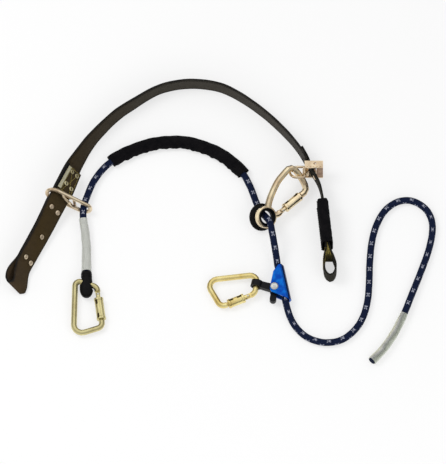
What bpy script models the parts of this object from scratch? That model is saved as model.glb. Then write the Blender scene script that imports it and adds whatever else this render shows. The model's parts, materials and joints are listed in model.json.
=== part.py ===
"""Pole climbing fall restrictor: an outer strap, an inner rope, and the hardware that joins them.

The object is modelled as it lies on a flat surface: metres, +X to the right, +Y away from the
viewer, +Z up. The strap stands on its edge, and everything rests at or above z = 0.
"""
import math

import bmesh
import bpy
import numpy as np
from mathutils import Matrix, Vector

ORIGIN_NAME = "object_origin"
# From the lay-out's own zero to the centre of the object's footprint
ORIGIN_SHIFT = (0.09102, -0.01998, -0.00032)

# Driving dimensions
CLEAR = 0.0003
RUN_CLEAR = 0.0004
STRAP_WIDTH = 0.040
STRAP_THICKNESS = 0.0042
LAYER_GAP = 0.0007
PATCH_GAP = 0.0013
LEAN_AZIMUTH = 153.0
TAIL_WIDTH = 0.034
TAIL_THICKNESS = 0.0032
ROPE_DIAMETER = 0.0127
ROPE_END_BORE = 0.0070
WEAR_SLEEVE_WIDTH = 0.0270
WEAR_SLEEVE_HEIGHT = 0.0172
WEAR_SLEEVE_WALL = 0.0017
BOOT_WIDTH = 0.0260
BOOT_HEIGHT = 0.0200
BOOT_LENGTH = 0.0515
BOOT_TOP = -0.1060
RIVET_HEAD = 0.0046
RIVET_SHANK = 0.0022
RIVET_SEAT = 0.0011
HEAD_HEIGHT = 0.0012

# Steel carabiner, offset D: centreline corners in its own plane, spine along +X, gate side at -Y
CARABINER_ROD = 0.0110
CARABINER_CORNERS = ((0.0, 0.0), (0.024, -0.057), (0.088, -0.038), (0.101, 0.0))
LEFT_CORNERS = ((0.0, 0.0), (0.0175, -0.0535), (0.0975, -0.0430), (0.1114, -0.0030))
LEFT_RADII = (0.015, 0.011, 0.011, 0.0085)
CARABINER_RADII = (0.015, 0.011, 0.012, 0.013)
GATE_ROD = 0.0092
GATE_GAP = 0.0005
LATCH_AT = 0.0120
HINGE_AT = 0.0540
LEFT_HINGE_AT = 0.0650
SLEEVE_START = 0.0020
SLEEVE_FROM = 0.0075
SLEEVE_RADIUS = 0.0088
SLEEVE_BORE = 0.0050
SPRING_NECK = 0.0030
SPRING_WIRE = 0.0009
COIL_STEPS = 8
PLUNGER_BORE = 0.0019
RIVET_TONGUE = 0.0042
TONGUE_THICKNESS = 0.0044
FORK_SLOT = 0.0050
FORK_DEPTH = 0.0055
NECK_BOTTOM = 0.0200
NECK_TOP = 0.0340
PLUNGER_END = 0.0150
RIVET_PIN = 0.0015
SHOULDER = 0.0062

# Friction ring
RING_ROD = 0.0076
RING_WINDOW_LEFT = 0.0249
RING_TIP = 0.0627
RING_LEFT_RADIUS = 0.0140
RING_RIGHT_RADIUS = 0.0120
RING_LONG_AXIS = (0.890, -0.290, -0.352)
RING_TILT = 14.0
RING_BAR = 0.0050
RING_STRAP_AHEAD = (0.420, 0.907, 0.0)
RING_DIVIDER = ((0.024, 0.0115, 0.0), (0.038, -0.0115, 0.0))
RING_BOW = ((0.0, 0.0138, 0.0), (0.006, 0.011, 0.006), (0.018, 0.0075, 0.008), (0.030, -0.002, 0.006),
            (0.044, -0.0122, 0.0))

# Captive-eye hook
EYE_CENTRE = (0.0850, -0.0040, 0.0315)
EYE_NORMAL = (0.502, -0.352, 0.790)
HOOK_SPINE_AXIS = (0.4415, 0.8895, 0.1157)
EYE_RADIUS = 0.0208
EYE_HOLE = 0.0152
EYE_THICKNESS = 0.0110
HOOK_ROD = 0.0126
HOOK_HINGE_AT = (0.0280, -0.0235)
HOOK_GATE_AXIS = (0.913, -0.408)
HOOK_GATE_LENGTH = 0.0480
HOOK_ROUTE = ((0.0170, 0.0050), (0.0300, 0.0095), (0.0500, 0.0118), (0.0704, 0.0119), (0.0880, 0.0080),
              (0.1010, 0.0040), (0.1070, -0.0050), (0.1051, -0.0157), (0.1010, -0.0270), (0.0950, -0.0390),
              (0.0880, -0.0468), (0.0809, -0.0471), (0.0764, -0.0451), (0.0723, -0.0433))
HOOK_FOOT = ((0.0125, -0.0140), (0.0168, -0.0186), (0.0223, -0.0210))
BUSH_BORE = 0.0118
BUSH_FLANGE = 0.0256
BUSH_DEPTH = 0.0185
BUSH_LIP = 0.0173

# Rope adjuster
ADJUSTER_MID = 0.0135
SHELL_OUTER = 0.0112
SHELL_PLATE = 0.0030
SHELL_FROM = (0.1080, -0.1010)
SHELL_TO = (0.1210, -0.1650)
SHELL_OUTLINE = (
    (0.0985, -0.1100), (0.1075, -0.0970), (0.1125, -0.0945), (0.1205, -0.0970), (0.1360, -0.1580),
    (0.1340, -0.1630), (0.1280, -0.1650), (0.0950, -0.1510), (0.0925, -0.1460), (0.0930, -0.1380))
AXLE_AT = (0.1005, -0.1405)
AXLE_RADIUS = 0.0036
AXLE_HEAD = 0.0074
AXLE_TAIL = 0.0055
CAM_RADIUS = 0.0075
CAM_OFFSET = 0.0009
ARM_MID = 0.0118
ARM_THICKNESS = 0.0110
ARM_EYE_AT = (0.0680, -0.1310)
ARM_EYE_RADIUS = 0.0108
ARM_EYE_HOLE = 0.0063
ARM_EYE_WIDTH = 0.0120
ARM_EYE_AXIS = (0.2237, 0.974)
THUMB_AT = (0.0980, -0.1625)
THUMB_RADIUS = 0.0062

# Strap-end buckle and D-ring
BUCKLE_CENTRE = (0.1735, 0.0960)
BUCKLE_LENGTH = 0.0340
BUCKLE_DEPTH = 0.0140
BUCKLE_PLATE = 0.0032
BUCKLE_BASE = 0.0006
BUCKLE_TOP = 0.0480
BUCKLE_TEETH = 5
POST_RADIUS = 0.0030
FRONT_POST_AT = (0.1625, 0.0930)
REAR_POST_AT = (0.1860, 0.0985)
GRIP_AT = (0.1741, 0.0969)
GRIP_RADIUS = 0.0032
GRIP_PIN = 0.0014
GRIP_TRAVEL = 0.0025
GRIP_AXIS = (0.875, 0.485, 0.0)
KEEPER_WIDTH = 0.0120
KEEPER_THICKNESS = 0.0020
KEEPER_AT = (0.1845, 0.0905)
D_RING_WIRE = 0.0050
D_RING_RADIUS = 0.0130
D_RING_SIDE = 0.0150
D_RING_AXIS = (0.0, 0.951, -0.309)
D_RING_AT = (0.1572, 0.0860, 0.0335)
LUG_RADIUS = 0.0046
LUG_WIDTH = 0.0120

# Where the two carabiners hang: swing point and the direction of the spine, base to narrow end
LEFT_SWING_AT = (-0.247, -0.1295, 0.0110)
LEFT_SPINE = (0.0, 1.0, 0.026)
MIDDLE_SWING_AT = (0.0680, -0.1310, 0.0118)
MIDDLE_SPINE = (0.9925, 0.1045, 0.040)
LEFT_SWING_SHARE = 0.48
MIDDLE_SWING_SHARE = 0.5

# Routes, in metres, chosen by hand
ROPE_ROUTE = (
    (-0.247, -0.1057, 0.0105), (-0.247, -0.085, 0.0105), (-0.247, -0.060, 0.0110), (-0.249, -0.030, 0.0125),
    (-0.253, -0.002, 0.0150), (-0.2524, 0.0216, 0.0160), (-0.246, 0.046, 0.0125), (-0.232, 0.081, 0.0095),
    (-0.207, 0.113, 0.0092), (-0.170, 0.137, 0.0092), (-0.130, 0.152, 0.0092), (-0.092, 0.158, 0.0092),
    (-0.055, 0.155, 0.0092), (-0.017, 0.142, 0.0092), (0.015, 0.122, 0.0092), (0.041, 0.096, 0.0092),
    (0.056, 0.067, 0.0095), (0.066, 0.036, 0.0150), (0.0744, 0.0126, 0.0222), (0.0850, -0.0040, 0.0315),
    (0.0925, -0.0180, 0.0385), (0.0965, -0.0375, 0.0370), (0.1010, -0.0600, 0.0265), (0.1045, -0.0800, 0.0180),
    (0.1064, -0.0930, 0.0138), (0.1080, -0.1010, 0.0135), (0.1145, -0.1330, 0.0135), (0.1210, -0.1650, 0.0135),
    (0.1230, -0.1745, 0.0134), (0.1275, -0.1900, 0.0095), (0.1345, -0.2060, 0.0067), (0.147, -0.224, 0.0067),
    (0.166, -0.239, 0.0067), (0.194, -0.247, 0.0067), (0.224, -0.242, 0.0067), (0.248, -0.223, 0.0067),
    (0.264, -0.197, 0.0067), (0.273, -0.163, 0.0067), (0.276, -0.124, 0.0067), (0.277, -0.086, 0.0067),
    (0.281, -0.043, 0.0067), (0.290, -0.008, 0.0067), (0.306, 0.021, 0.0067), (0.329, 0.038, 0.0067),
    (0.354, 0.040, 0.0067), (0.377, 0.027, 0.0067), (0.390, 0.006, 0.0067), (0.393, -0.021, 0.0067),
    (0.386, -0.060, 0.0067), (0.371, -0.106, 0.0072), (0.355, -0.150, 0.0082), (0.340, -0.191, 0.0086),
    (0.322, -0.230, 0.0086), (0.302, -0.261, 0.0086), (0.280, -0.286, 0.0086))
ROPE_POINTS = 72
CLEAR_SLEEVE_SPAN = (0.0010, 0.1060)
WEAR_SLEEVE_SPAN = (0.2400, 0.5130)
END_SLEEVE_LENGTH = 0.1150
# The strap's floor edge as (x, y, height, lean in degrees)
LEG_ROUTE = (
    (-0.3535, -0.1065, 0.0064, 40), (-0.3440, -0.0880, 0.0076, 40), (-0.3270, -0.0560, 0.0080, 42), (-0.3100, -0.0240, 0.0112, 45),
    (-0.2960, 0.0020, 0.0168, 51))
LOOP_ROUTE = (
    (-0.3650, -0.1120, 0.0034, 40), (-0.3718, -0.1240, 0.0024, 40), (-0.3735, -0.1370, 0.0024, 40),
    (-0.3690, -0.1470, 0.0024, 40), (-0.3610, -0.1455, 0.0032, 40), (-0.3572, -0.1335, 0.0044, 40),
    (-0.3562, -0.1200, 0.0054, 40))
RING_STATION = (-0.2815, 0.0290, 0.0231, 58)
ARC_ROUTE = (
    (-0.2716, 0.0570, 0.0190, 51), (-0.2616, 0.0900, 0.0115, 40), (-0.2505, 0.1190, 0.0045, 28),
    (-0.2362, 0.1480, 0.0016, 19), (-0.2180, 0.1735, 0.0010, 14), (-0.1880, 0.2060, 0.0008, 10),
    (-0.1595, 0.2285, 0.0006, 6), (-0.1203, 0.2552, 0.0004, 2), (-0.0850, 0.2675, 0.0004, 0),
    (-0.0450, 0.2710, 0.0004, 0), (0.0000, 0.2635, 0.0004, 0), (0.0380, 0.2440, 0.0004, 0), (0.0740, 0.2170, 0.0004, 0),
    (0.1040, 0.1890, 0.0006, 0), (0.1300, 0.1600, 0.0014, 0), (0.1480, 0.1340, 0.0032, 0),
    (0.1590, 0.1130, 0.0044, 0))
TAIL_ROUTE = (
    (0.1640, 0.1122, 0.0050, 0), (0.1668, 0.1030, 0.0050, 0), (0.1702, 0.0920, 0.0044, 0), (0.1755, 0.0830, 0.0044, 0),
    (0.1810, 0.0720, 0.0040, 0), (0.1860, 0.0580, 0.0032, 0), (0.1900, 0.0380, 0.0030, 0),
    (0.1930, 0.0140, 0.0030, 0), (0.1960, -0.0160, 0.0030, 0), (0.1990, -0.0440, 0.0028, 0),
    (0.2030, -0.0660, 0.0028, 0), (0.2105, -0.0840, 0.0012, 0), (0.2145, -0.1000, 0.0004, 0),
    (0.2115, -0.1150, 0.0004, 0), (0.2040, -0.1210, 0.0004, 0), (0.1955, -0.1140, 0.0004, 0),
    (0.1925, -0.0990, 0.0006, 0), (0.1930, -0.0820, 0.0016, 0), (0.1965, -0.0640, 0.0030, 0),
    (0.1936, -0.0430, 0.0028, 0), (0.1906, -0.0150, 0.0030, 0))
STRAP_STATIONS = 104
RETURN_COUNT = 9
RETURN_STOP = 0.0130
RETURN_START = 0.0100
PATCH_SPAN = (0.0110, 0.0680)
TAG_ACROSS = (0.0290, 0.0360)
TAG_THICKNESS = 0.0007
TAG_GAP = 0.0009
LEG_RIVETS = ((-0.021, 0.0270), (-0.023, 0.0100), (-0.080, 0.0170), (-0.132, 0.0270), (-0.134, 0.0100))
PATCH_RIVETS = ((0.0580, 0.0235), (0.0580, 0.0095), (0.0300, 0.0235), (0.0270, 0.0090))
WRAP_TOP = (0.1893, 0.0290)
WRAP_BOTTOM = (0.1985, -0.0580)
WRAP_WIDTH = 0.0215
WRAP_HEIGHT = 0.0450
WRAP_WALL = 0.0018
WRAP_BASE = 0.0008
TAIL_STATIONS = 60
TAIL_RIVET = (0.0620, 0.0200)

# Colours: base colour, roughness, metallic
FINISHES = {
    "webbing": ((0.050, 0.040, 0.030), 0.75, 0.0),
    "tail_webbing": ((0.020, 0.020, 0.018), 0.85, 0.0),
    "tag_cloth": ((0.55, 0.53, 0.42), 0.85, 0.0),
    "copper": ((0.72, 0.45, 0.30), 0.35, 1.0),
    "brass": ((0.74, 0.60, 0.28), 0.35, 1.0),
    "ring_bronze": ((0.72, 0.52, 0.36), 0.30, 1.0),
    "rope": ((0.012, 0.022, 0.075), 0.85, 0.0),
    "clear_sleeve": ((0.78, 0.80, 0.76), 0.25, 0.0),
    "black_rubber": ((0.015, 0.015, 0.015), 0.55, 0.0),
    "black_fabric": ((0.008, 0.007, 0.010), 0.90, 0.0),
    "yellow_zinc": ((0.74, 0.58, 0.26), 0.28, 1.0),
    "champagne_zinc": ((0.78, 0.66, 0.44), 0.28, 1.0),
    "spring_steel": ((0.55, 0.55, 0.55), 0.30, 1.0),
    "blue_anodised": ((0.010, 0.095, 0.580), 0.35, 0.6),
    "black_cast": ((0.012, 0.012, 0.013), 0.45, 0.3),
    "silver": ((0.80, 0.80, 0.78), 0.30, 1.0),
}


def clear_scene():
    for obj in list(bpy.data.objects):
        bpy.data.objects.remove(obj, do_unlink=True)


def make_collection(name):
    collection = bpy.data.collections.new(name)
    bpy.context.scene.collection.children.link(collection)
    return collection


def finish_material(name):
    """The Principled material for one of the finishes, made once."""
    if name in bpy.data.materials:
        return bpy.data.materials[name]
    colour, roughness, metallic = FINISHES[name]
    material = bpy.data.materials.new(name)
    material.use_nodes = True
    shader = material.node_tree.nodes["Principled BSDF"]
    shader.inputs["Base Color"].default_value = (*colour, 1.0)
    shader.inputs["Roughness"].default_value = roughness
    shader.inputs["Metallic"].default_value = metallic
    return material


def unit(vector):
    vector = np.asarray(vector, float)
    return vector / np.linalg.norm(vector)


def frame_matrix(origin, x_axis, y_axis, z_axis):
    """A placement from three unit axes and an origin."""
    rotation = Matrix((x_axis, y_axis, z_axis)).transposed().to_4x4()
    return Matrix.Translation(Vector(origin)) @ rotation


def axis_frame(origin, z_axis, towards=(0.0, 0.0, 1.0)):
    """A placement whose Z lies along z_axis."""
    z_axis = unit(z_axis)
    side = np.cross(towards, z_axis)
    if np.linalg.norm(side) < 0.01:
        side = np.cross((1.0, 0.0, 0.0), z_axis)
    side = unit(side)
    return frame_matrix(origin, side, np.cross(z_axis, side), z_axis)


def new_empty(name, matrix, parent=None):
    empty = bpy.data.objects.new(name, None)
    PARTS.objects.link(empty)
    empty.empty_display_size = 0.01
    if name != ORIGIN_NAME:
        empty.parent = parent or bpy.data.objects[ORIGIN_NAME]
    empty.matrix_basis = matrix
    return empty


def place(obj, finish, parent=None, matrix=None, cutter=False):
    """Links an object into its collection, with its material, parent and placement."""
    (CUTTERS if cutter else PARTS).objects.link(obj)
    if cutter:
        obj.hide_render = True
        obj.display_type = 'WIRE'
    elif finish:
        obj.data.materials.clear()
        obj.data.materials.append(finish_material(finish))
    obj.parent = parent or bpy.data.objects[ORIGIN_NAME]
    if matrix is not None:
        obj.matrix_basis = matrix
    return obj


def mesh_object(name, bm):
    bmesh.ops.recalc_face_normals(bm, faces=bm.faces)
    mesh = bpy.data.meshes.new(name)
    bm.to_mesh(mesh)
    bm.free()
    return bpy.data.objects.new(name, mesh)


def shade(obj, angle=40.0):
    if not obj.data.polygons:
        return obj
    obj.data.shade_smooth()
    obj.data.set_sharp_from_angle(angle=math.radians(angle))
    return obj


def box_object(name, size, centre):
    bm = bmesh.new()
    bmesh.ops.create_cube(bm, size=1.0)
    bmesh.ops.scale(bm, vec=size, verts=bm.verts)
    bmesh.ops.translate(bm, vec=centre, verts=bm.verts)
    return mesh_object(name, bm)


def rod_object(name, radius, bottom, top, sides=16, top_radius=None):
    """A cylinder or cone along Z."""
    bm = bmesh.new()
    far = radius if top_radius is None else top_radius
    bmesh.ops.create_cone(bm, cap_ends=True, segments=sides, radius1=radius, radius2=far, depth=top - bottom)
    bmesh.ops.translate(bm, vec=(0, 0, (top + bottom) / 2), verts=bm.verts)
    return mesh_object(name, bm)


def turned_object(name, profile, steps=20, closed=False):
    """A turned shape: profile is (radius, height), down the outer side from top to bottom."""
    mesh = bpy.data.meshes.new(name)
    edges = [(i, i + 1) for i in range(len(profile) - 1)]
    if closed:
        edges.append((len(profile) - 1, 0))
    mesh.from_pydata([(r, 0.0, z) for r, z in profile], edges, [])
    obj = bpy.data.objects.new(name, mesh)
    turn = obj.modifiers.new("turn", 'SCREW')
    turn.steps = turn.render_steps = steps
    turn.use_merge_vertices = True
    turn.merge_threshold = 0.00001
    return obj


def joined(name, pieces):
    """Separate solids kept in one object: pieces is a list of (object, placement)."""
    bm = bmesh.new()
    for obj, matrix in pieces:
        mesh = obj.data
        mesh.transform(matrix)
        bm.from_mesh(mesh)
        bpy.data.objects.remove(obj, do_unlink=True)
        bpy.data.meshes.remove(mesh)
    return mesh_object(name, bm)


def flat_object(name, outline, thickness):
    """A flat outline in XY, extruded evenly about z = 0."""
    curve = bpy.data.curves.new(name, 'CURVE')
    curve.dimensions = '2D'
    curve.fill_mode = 'BOTH'
    curve.extrude = thickness / 2
    spline = curve.splines.new('POLY')
    spline.points.add(len(outline) - 1)
    for point, (x, y) in zip(spline.points, outline):
        point.co = (x, y, 0.0, 1.0)
    spline.use_cyclic_u = True
    return to_mesh(bpy.data.objects.new(name, curve))


def tube_curve(name, points, radius, resolution=3, cyclic=False):
    curve = bpy.data.curves.new(name, 'CURVE')
    curve.dimensions = '3D'
    curve.bevel_depth = radius
    curve.bevel_resolution = resolution
    curve.use_fill_caps = not cyclic
    spline = curve.splines.new('POLY')
    spline.points.add(len(points) - 1)
    for point, co in zip(spline.points, points):
        point.co = (*co, 1.0)
    spline.use_cyclic_u = cyclic
    return bpy.data.objects.new(name, curve)


def to_mesh(obj):
    """A curve object made a closed mesh, with its caps welded."""
    CUTTERS.objects.link(obj)
    bpy.context.view_layer.update()
    evaluated = obj.evaluated_get(bpy.context.evaluated_depsgraph_get())
    mesh = bpy.data.meshes.new_from_object(evaluated)
    name = obj.name
    bpy.data.objects.remove(obj, do_unlink=True)
    bm = bmesh.new()
    bm.from_mesh(mesh)
    bpy.data.meshes.remove(mesh)
    bmesh.ops.remove_doubles(bm, verts=bm.verts, dist=0.00001)
    return mesh_object(name, bm)


def loft_object(name, rings, closed=False):
    """Rings of equal counts joined by quads, capped at both ends or joined end to end."""
    bm = bmesh.new()
    rows = [[bm.verts.new(p) for p in ring] for ring in rings]
    count = len(rows[0])
    following = rows[1:] + ([rows[0]] if closed else [])
    for row, after in zip(rows, following):
        for i in range(count):
            j = (i + 1) % count
            bm.faces.new((row[i], row[j], after[j], after[i]))
    if not closed:
        bm.faces.new(rows[0])
        bm.faces.new(rows[-1])
    return mesh_object(name, bm)


def boolean(obj, other, operation):
    step = obj.modifiers.new(operation.lower(), 'BOOLEAN')
    step.object = other
    step.operation = operation
    step.solver = 'EXACT'
    return obj


def cut(obj, cutter, parent=None, matrix=None):
    place(cutter, None, parent, matrix, cutter=True)
    return boolean(obj, cutter, 'DIFFERENCE')


def add(obj, other, parent=None, matrix=None):
    place(other, None, parent, matrix, cutter=True)
    return boolean(obj, other, 'UNION')


def smooth_points(route, count):
    """Evenly spaced points on a smooth curve through the route's own points."""
    p = np.array(route, float)
    p = np.vstack([2 * p[0] - p[1], p, 2 * p[-1] - p[-2]])
    dense = []
    for a, b, c, d in zip(p, p[1:], p[2:], p[3:]):
        for u in np.linspace(0, 1, 16, endpoint=False):
            dense.append(0.5 * (2 * b + (c - a) * u + (2 * a - 5 * b + 4 * c - d) * u * u
                                + (3 * b - a - 3 * c + d) * u ** 3))
    dense.append(p[-2])
    dense = np.array(dense)
    along = np.concatenate([[0], np.cumsum(np.linalg.norm(np.diff(dense[:, :3], axis=0), axis=1))])
    wanted = np.linspace(0, along[-1], count)
    return np.column_stack([np.interp(wanted, along, dense[:, i]) for i in range(p.shape[1])])


def distances(points):
    return np.concatenate([[0], np.cumsum(np.linalg.norm(np.diff(points[:, :3], axis=0), axis=1))])


def tangents(points):
    return np.array([unit(t) for t in np.gradient(points[:, :3], axis=0)])


def at_distance(points, wanted):
    """The point and tangent at a distance along a polyline."""
    along = distances(points)
    point = np.array([np.interp(wanted, along, points[:, i]) for i in range(3)])
    tangent = unit([np.interp(wanted, along, tangents(points)[:, i]) for i in range(3)])
    return point, tangent


def oval(centre, side, up, half_width, half_height, count=12):
    turn = np.linspace(0, 2 * math.pi, count, endpoint=False)
    return [centre + side * half_width * math.cos(a) + up * half_height * math.sin(a) for a in turn]


def sleeve_object(name, points, span, outer, inner, steps=16, lift=0.0):
    """A hollow sleeve round a line: outer(t) and inner(t) give half width and half height."""
    wanted = np.linspace(span[0], span[1], steps)
    outside, inside = [], []
    for i, s in enumerate(wanted):
        point, tangent = at_distance(points, s)
        side = unit(np.cross(tangent, (0, 0, 1)))
        up = np.cross(side, tangent)
        t = i / (steps - 1)
        outside.append(oval(point + up * lift, side, up, *outer(t)))
        inside.append(oval(point, side, up, *inner(t)))
    return loft_object(name, outside + inside[::-1], closed=True)


def rounded_path(corners, radii, steps=5):
    """A closed polygon's corners replaced by arcs, as a list of one point list per corner."""
    arcs = []
    count = len(corners)
    for i in range(count):
        here = np.array(corners[i], float)
        before = unit(np.array(corners[i - 1]) - here)
        after = unit(np.array(corners[(i + 1) % count]) - here)
        half = math.acos(np.clip(np.dot(before, after), -1, 1)) / 2
        reach = radii[i] / math.tan(half)
        centre = here + unit(before + after) * radii[i] / math.sin(half)
        start = here + before * reach - centre
        end = here + after * reach - centre
        turn = math.atan2(start[0] * end[1] - start[1] * end[0], np.dot(start, end))
        base = math.atan2(start[1], start[0])
        arcs.append([centre + radii[i] * np.array((math.cos(base + turn * k / steps),
                                                  math.sin(base + turn * k / steps))) for k in range(steps + 1)])
    return arcs


def ribbon_frames(stations):
    """Floor edge, width direction and front normal at each station of a strap."""
    lean = np.radians(stations[:, 3])
    azimuth = math.radians(LEAN_AZIMUTH)
    across = np.column_stack([math.cos(azimuth) * np.sin(lean), math.sin(azimuth) * np.sin(lean), np.cos(lean)])
    front = np.array([unit(np.cross(t, w)) for t, w in zip(tangents(stations), across)])
    return np.hstack([stations[:, :3], across, front])


def frames_at(frames, wanted):
    """Strap frames at distances along the floor edge."""
    along = distances(frames)
    return np.column_stack([np.interp(wanted, along, frames[:, i]) for i in range(frames.shape[1])])


def ribbon_object(name, frames, width, thickness, offset=0.0, low=0.0):
    """A strap: a flat section carried along its frames."""
    half = thickness / 2
    section = ((0.0, -half), (0.0, half), (width, half), (width, -half))
    rings = []
    for row in frames:
        base, across, front = row[:3], row[3:6], row[6:9]
        rings.append([base + across * (low + a) + front * (offset + b) for a, b in section])
    return loft_object(name, rings)


def rivet_profile(front, back, bore=0.0):
    """A rivet along Z whose stack runs from back to front; a bore makes it an eyelet."""
    top = front + RIVET_SEAT
    bottom = back - RIVET_SEAT
    crown = RIVET_HEAD * 0.55
    outer = [
        (crown, top + HEAD_HEIGHT), (RIVET_HEAD, top + HEAD_HEIGHT * 0.4), (RIVET_HEAD, top), (RIVET_SHANK, top),
        (RIVET_SHANK, bottom), (RIVET_HEAD, bottom), (RIVET_HEAD, bottom - HEAD_HEIGHT * 0.4),
        (crown, bottom - HEAD_HEIGHT)]
    if bore:
        return outer + [(bore, bottom - HEAD_HEIGHT), (bore, top + HEAD_HEIGHT)]
    return [(0.0, top + HEAD_HEIGHT)] + outer + [(0.0, bottom - HEAD_HEIGHT)]


def rivet_places(frames, ring_at, places):
    """Placements with Z along the strap's front normal, for (distance from the ring, height)."""
    result = []
    for along, height in places:
        row = frames_at(frames, [ring_at + along])[0]
        base, across, front = row[:3], row[3:6], row[6:9]
        ahead = np.cross(across, front)
        result.append(frame_matrix(base + across * height, unit(ahead), unit(np.cross(front, ahead)), unit(front)))
    return result


def strap_frames():
    """The outer strap from its returned end, round the loop, up the leg and along the arc."""
    front_route = LEG_ROUTE + (RING_STATION,) + ARC_ROUTE
    dense = smooth_points(front_route, 200)
    frames = ribbon_frames(dense)
    ring_at = distances(dense)[np.argmin(np.linalg.norm(dense[:, :3] - RING_STATION[:3], axis=1))]
    wanted = np.linspace(RETURN_START, ring_at - RETURN_STOP, RETURN_COUNT)
    rows = frames_at(frames, wanted)
    leans = np.interp(wanted, distances(dense), dense[:, 3])
    returned = np.column_stack([rows[:, :3] - rows[:, 6:9] * (STRAP_THICKNESS + LAYER_GAP), leans])
    route = [tuple(row) for row in returned[::-1]] + list(LOOP_ROUTE) + list(front_route)
    stations = smooth_points(route, STRAP_STATIONS)
    ring_at = distances(stations)[np.argmin(np.linalg.norm(stations[:, :3] - RING_STATION[:3], axis=1))]
    return ribbon_frames(stations), ring_at


def build_strap(frames, ring_at):
    strap = ribbon_object("outer_strap", frames, STRAP_WIDTH, STRAP_THICKNESS)
    half = STRAP_THICKNESS / 2
    leg_back = -half - LAYER_GAP - STRAP_THICKNESS
    patch_front = half + PATCH_GAP + STRAP_THICKNESS
    leg_places = rivet_places(frames, ring_at, LEG_RIVETS)
    patch_places = rivet_places(frames, ring_at, PATCH_RIVETS)
    hole = RIVET_SHANK + 2 * CLEAR
    holes = [(rod_object("hole", hole, leg_back - 0.002, half + 0.002, 8), m) for m in leg_places]
    holes += [(rod_object("hole", hole, -half - 0.002, half + 0.002, 8), m) for m in patch_places]
    cut(strap, joined("strap_rivet_holes", holes))
    place(strap, "webbing")
    for i, matrix in enumerate(leg_places):
        rivet = turned_object(f"leg_rivet_{i + 1}", rivet_profile(half, leg_back), 10)
        place(rivet, "copper", None, matrix)

    along = distances(frames)
    inside = along[(along > ring_at + PATCH_SPAN[0] + 0.002) & (along < ring_at + PATCH_SPAN[1] - 0.002)]
    span = frames_at(frames, [ring_at + PATCH_SPAN[0], *inside, ring_at + PATCH_SPAN[1]])
    step_up = STRAP_THICKNESS + PATCH_GAP
    patch = ribbon_object("strap_patch", span, STRAP_WIDTH, STRAP_THICKNESS, step_up)
    patch_holes = [(rod_object("hole", hole, half, patch_front + 0.002, 8), m) for m in patch_places]
    cut(patch, joined("patch_eyelet_holes", patch_holes))
    place(patch, "webbing")
    bore = RIVET_SHANK - 0.0009
    for i, matrix in enumerate(patch_places):
        eyelet = turned_object(f"patch_eyelet_{i + 1}", rivet_profile(patch_front, -half, bore), 10, True)
        place(eyelet, "brass", None, matrix)

    tag_span = frames_at(frames, inside)
    tag = ribbon_object("patch_tag", tag_span, TAG_ACROSS[1] - TAG_ACROSS[0], TAG_THICKNESS,
                        patch_front + TAG_GAP + TAG_THICKNESS / 2, TAG_ACROSS[0])
    place(tag, "tag_cloth")


def ring_placement():
    lean = math.radians(RING_STATION[3])
    azimuth = math.radians(LEAN_AZIMUTH)
    across = np.array((math.cos(azimuth) * math.sin(lean), math.sin(azimuth) * math.sin(lean), math.cos(lean)))
    middle = np.array(RING_STATION[:3]) + across * STRAP_WIDTH / 2
    long_axis = unit(RING_LONG_AXIS)
    ahead = np.array(RING_STRAP_AHEAD)
    normal = unit(ahead - long_axis * np.dot(ahead, long_axis))
    side = np.cross(long_axis, normal)
    tilt = math.radians(RING_TILT)
    short_axis = side * math.cos(tilt) + normal * math.sin(tilt)
    return frame_matrix(middle, long_axis, short_axis, np.cross(long_axis, short_axis))


def build_ring():
    pivot = new_empty("ring_tilt", ring_placement())
    left = RING_LEFT_RADIUS - RING_WINDOW_LEFT
    right = RING_TIP - RING_RIGHT_RADIUS
    rim = []
    for a in np.linspace(math.pi / 2, 3 * math.pi / 2, 11):
        rim.append((left + RING_LEFT_RADIUS * math.cos(a), RING_LEFT_RADIUS * math.sin(a), 0))
    for a in np.linspace(-math.pi / 2, math.pi / 2, 11):
        rim.append((right + RING_RIGHT_RADIUS * math.cos(a), RING_RIGHT_RADIUS * math.sin(a), 0))
    ring = to_mesh(tube_curve("friction_ring", rim, RING_ROD / 2, 3, True))
    divider = to_mesh(tube_curve("ring_divider", RING_DIVIDER, RING_BAR / 2, 3))
    bow = smooth_points(RING_BOW, 14)
    add(ring, divider, pivot)
    add(ring, to_mesh(tube_curve("ring_bow", bow, RING_BAR / 2, 3)), pivot)
    place(shade(ring), "ring_bronze", pivot)


def build_rope():
    points = smooth_points(ROPE_ROUTE, ROPE_POINTS)
    place(tube_curve("rope", points, ROPE_DIAMETER / 2, 2), "rope")
    length = distances(points)[-1]
    clear = sleeve_object(
        "rope_eye_clear_sleeve", points, CLEAR_SLEEVE_SPAN,
        lambda t: (0.0096 - 0.0018 * t, 0.0096 - 0.0018 * t), lambda t: (ROPE_END_BORE, ROPE_END_BORE), 12)
    place(shade(clear), "clear_sleeve")
    half_width = WEAR_SLEEVE_WIDTH / 2
    half_height = WEAR_SLEEVE_HEIGHT / 2
    wear = sleeve_object(
        "rope_wear_sleeve", points, WEAR_SLEEVE_SPAN, lambda t: (half_width, half_height),
        lambda t: (half_width - WEAR_SLEEVE_WALL, half_height - WEAR_SLEEVE_WALL), 20)
    place(shade(wear), "black_fabric")
    end = sleeve_object(
        "rope_end_clear_sleeve", points, (length - END_SLEEVE_LENGTH, length - 0.002),
        lambda t: (0.0077 + 0.0011 * t, 0.0077), lambda t: (ROPE_END_BORE, ROPE_END_BORE), 12)
    place(shade(end), "clear_sleeve")


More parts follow.
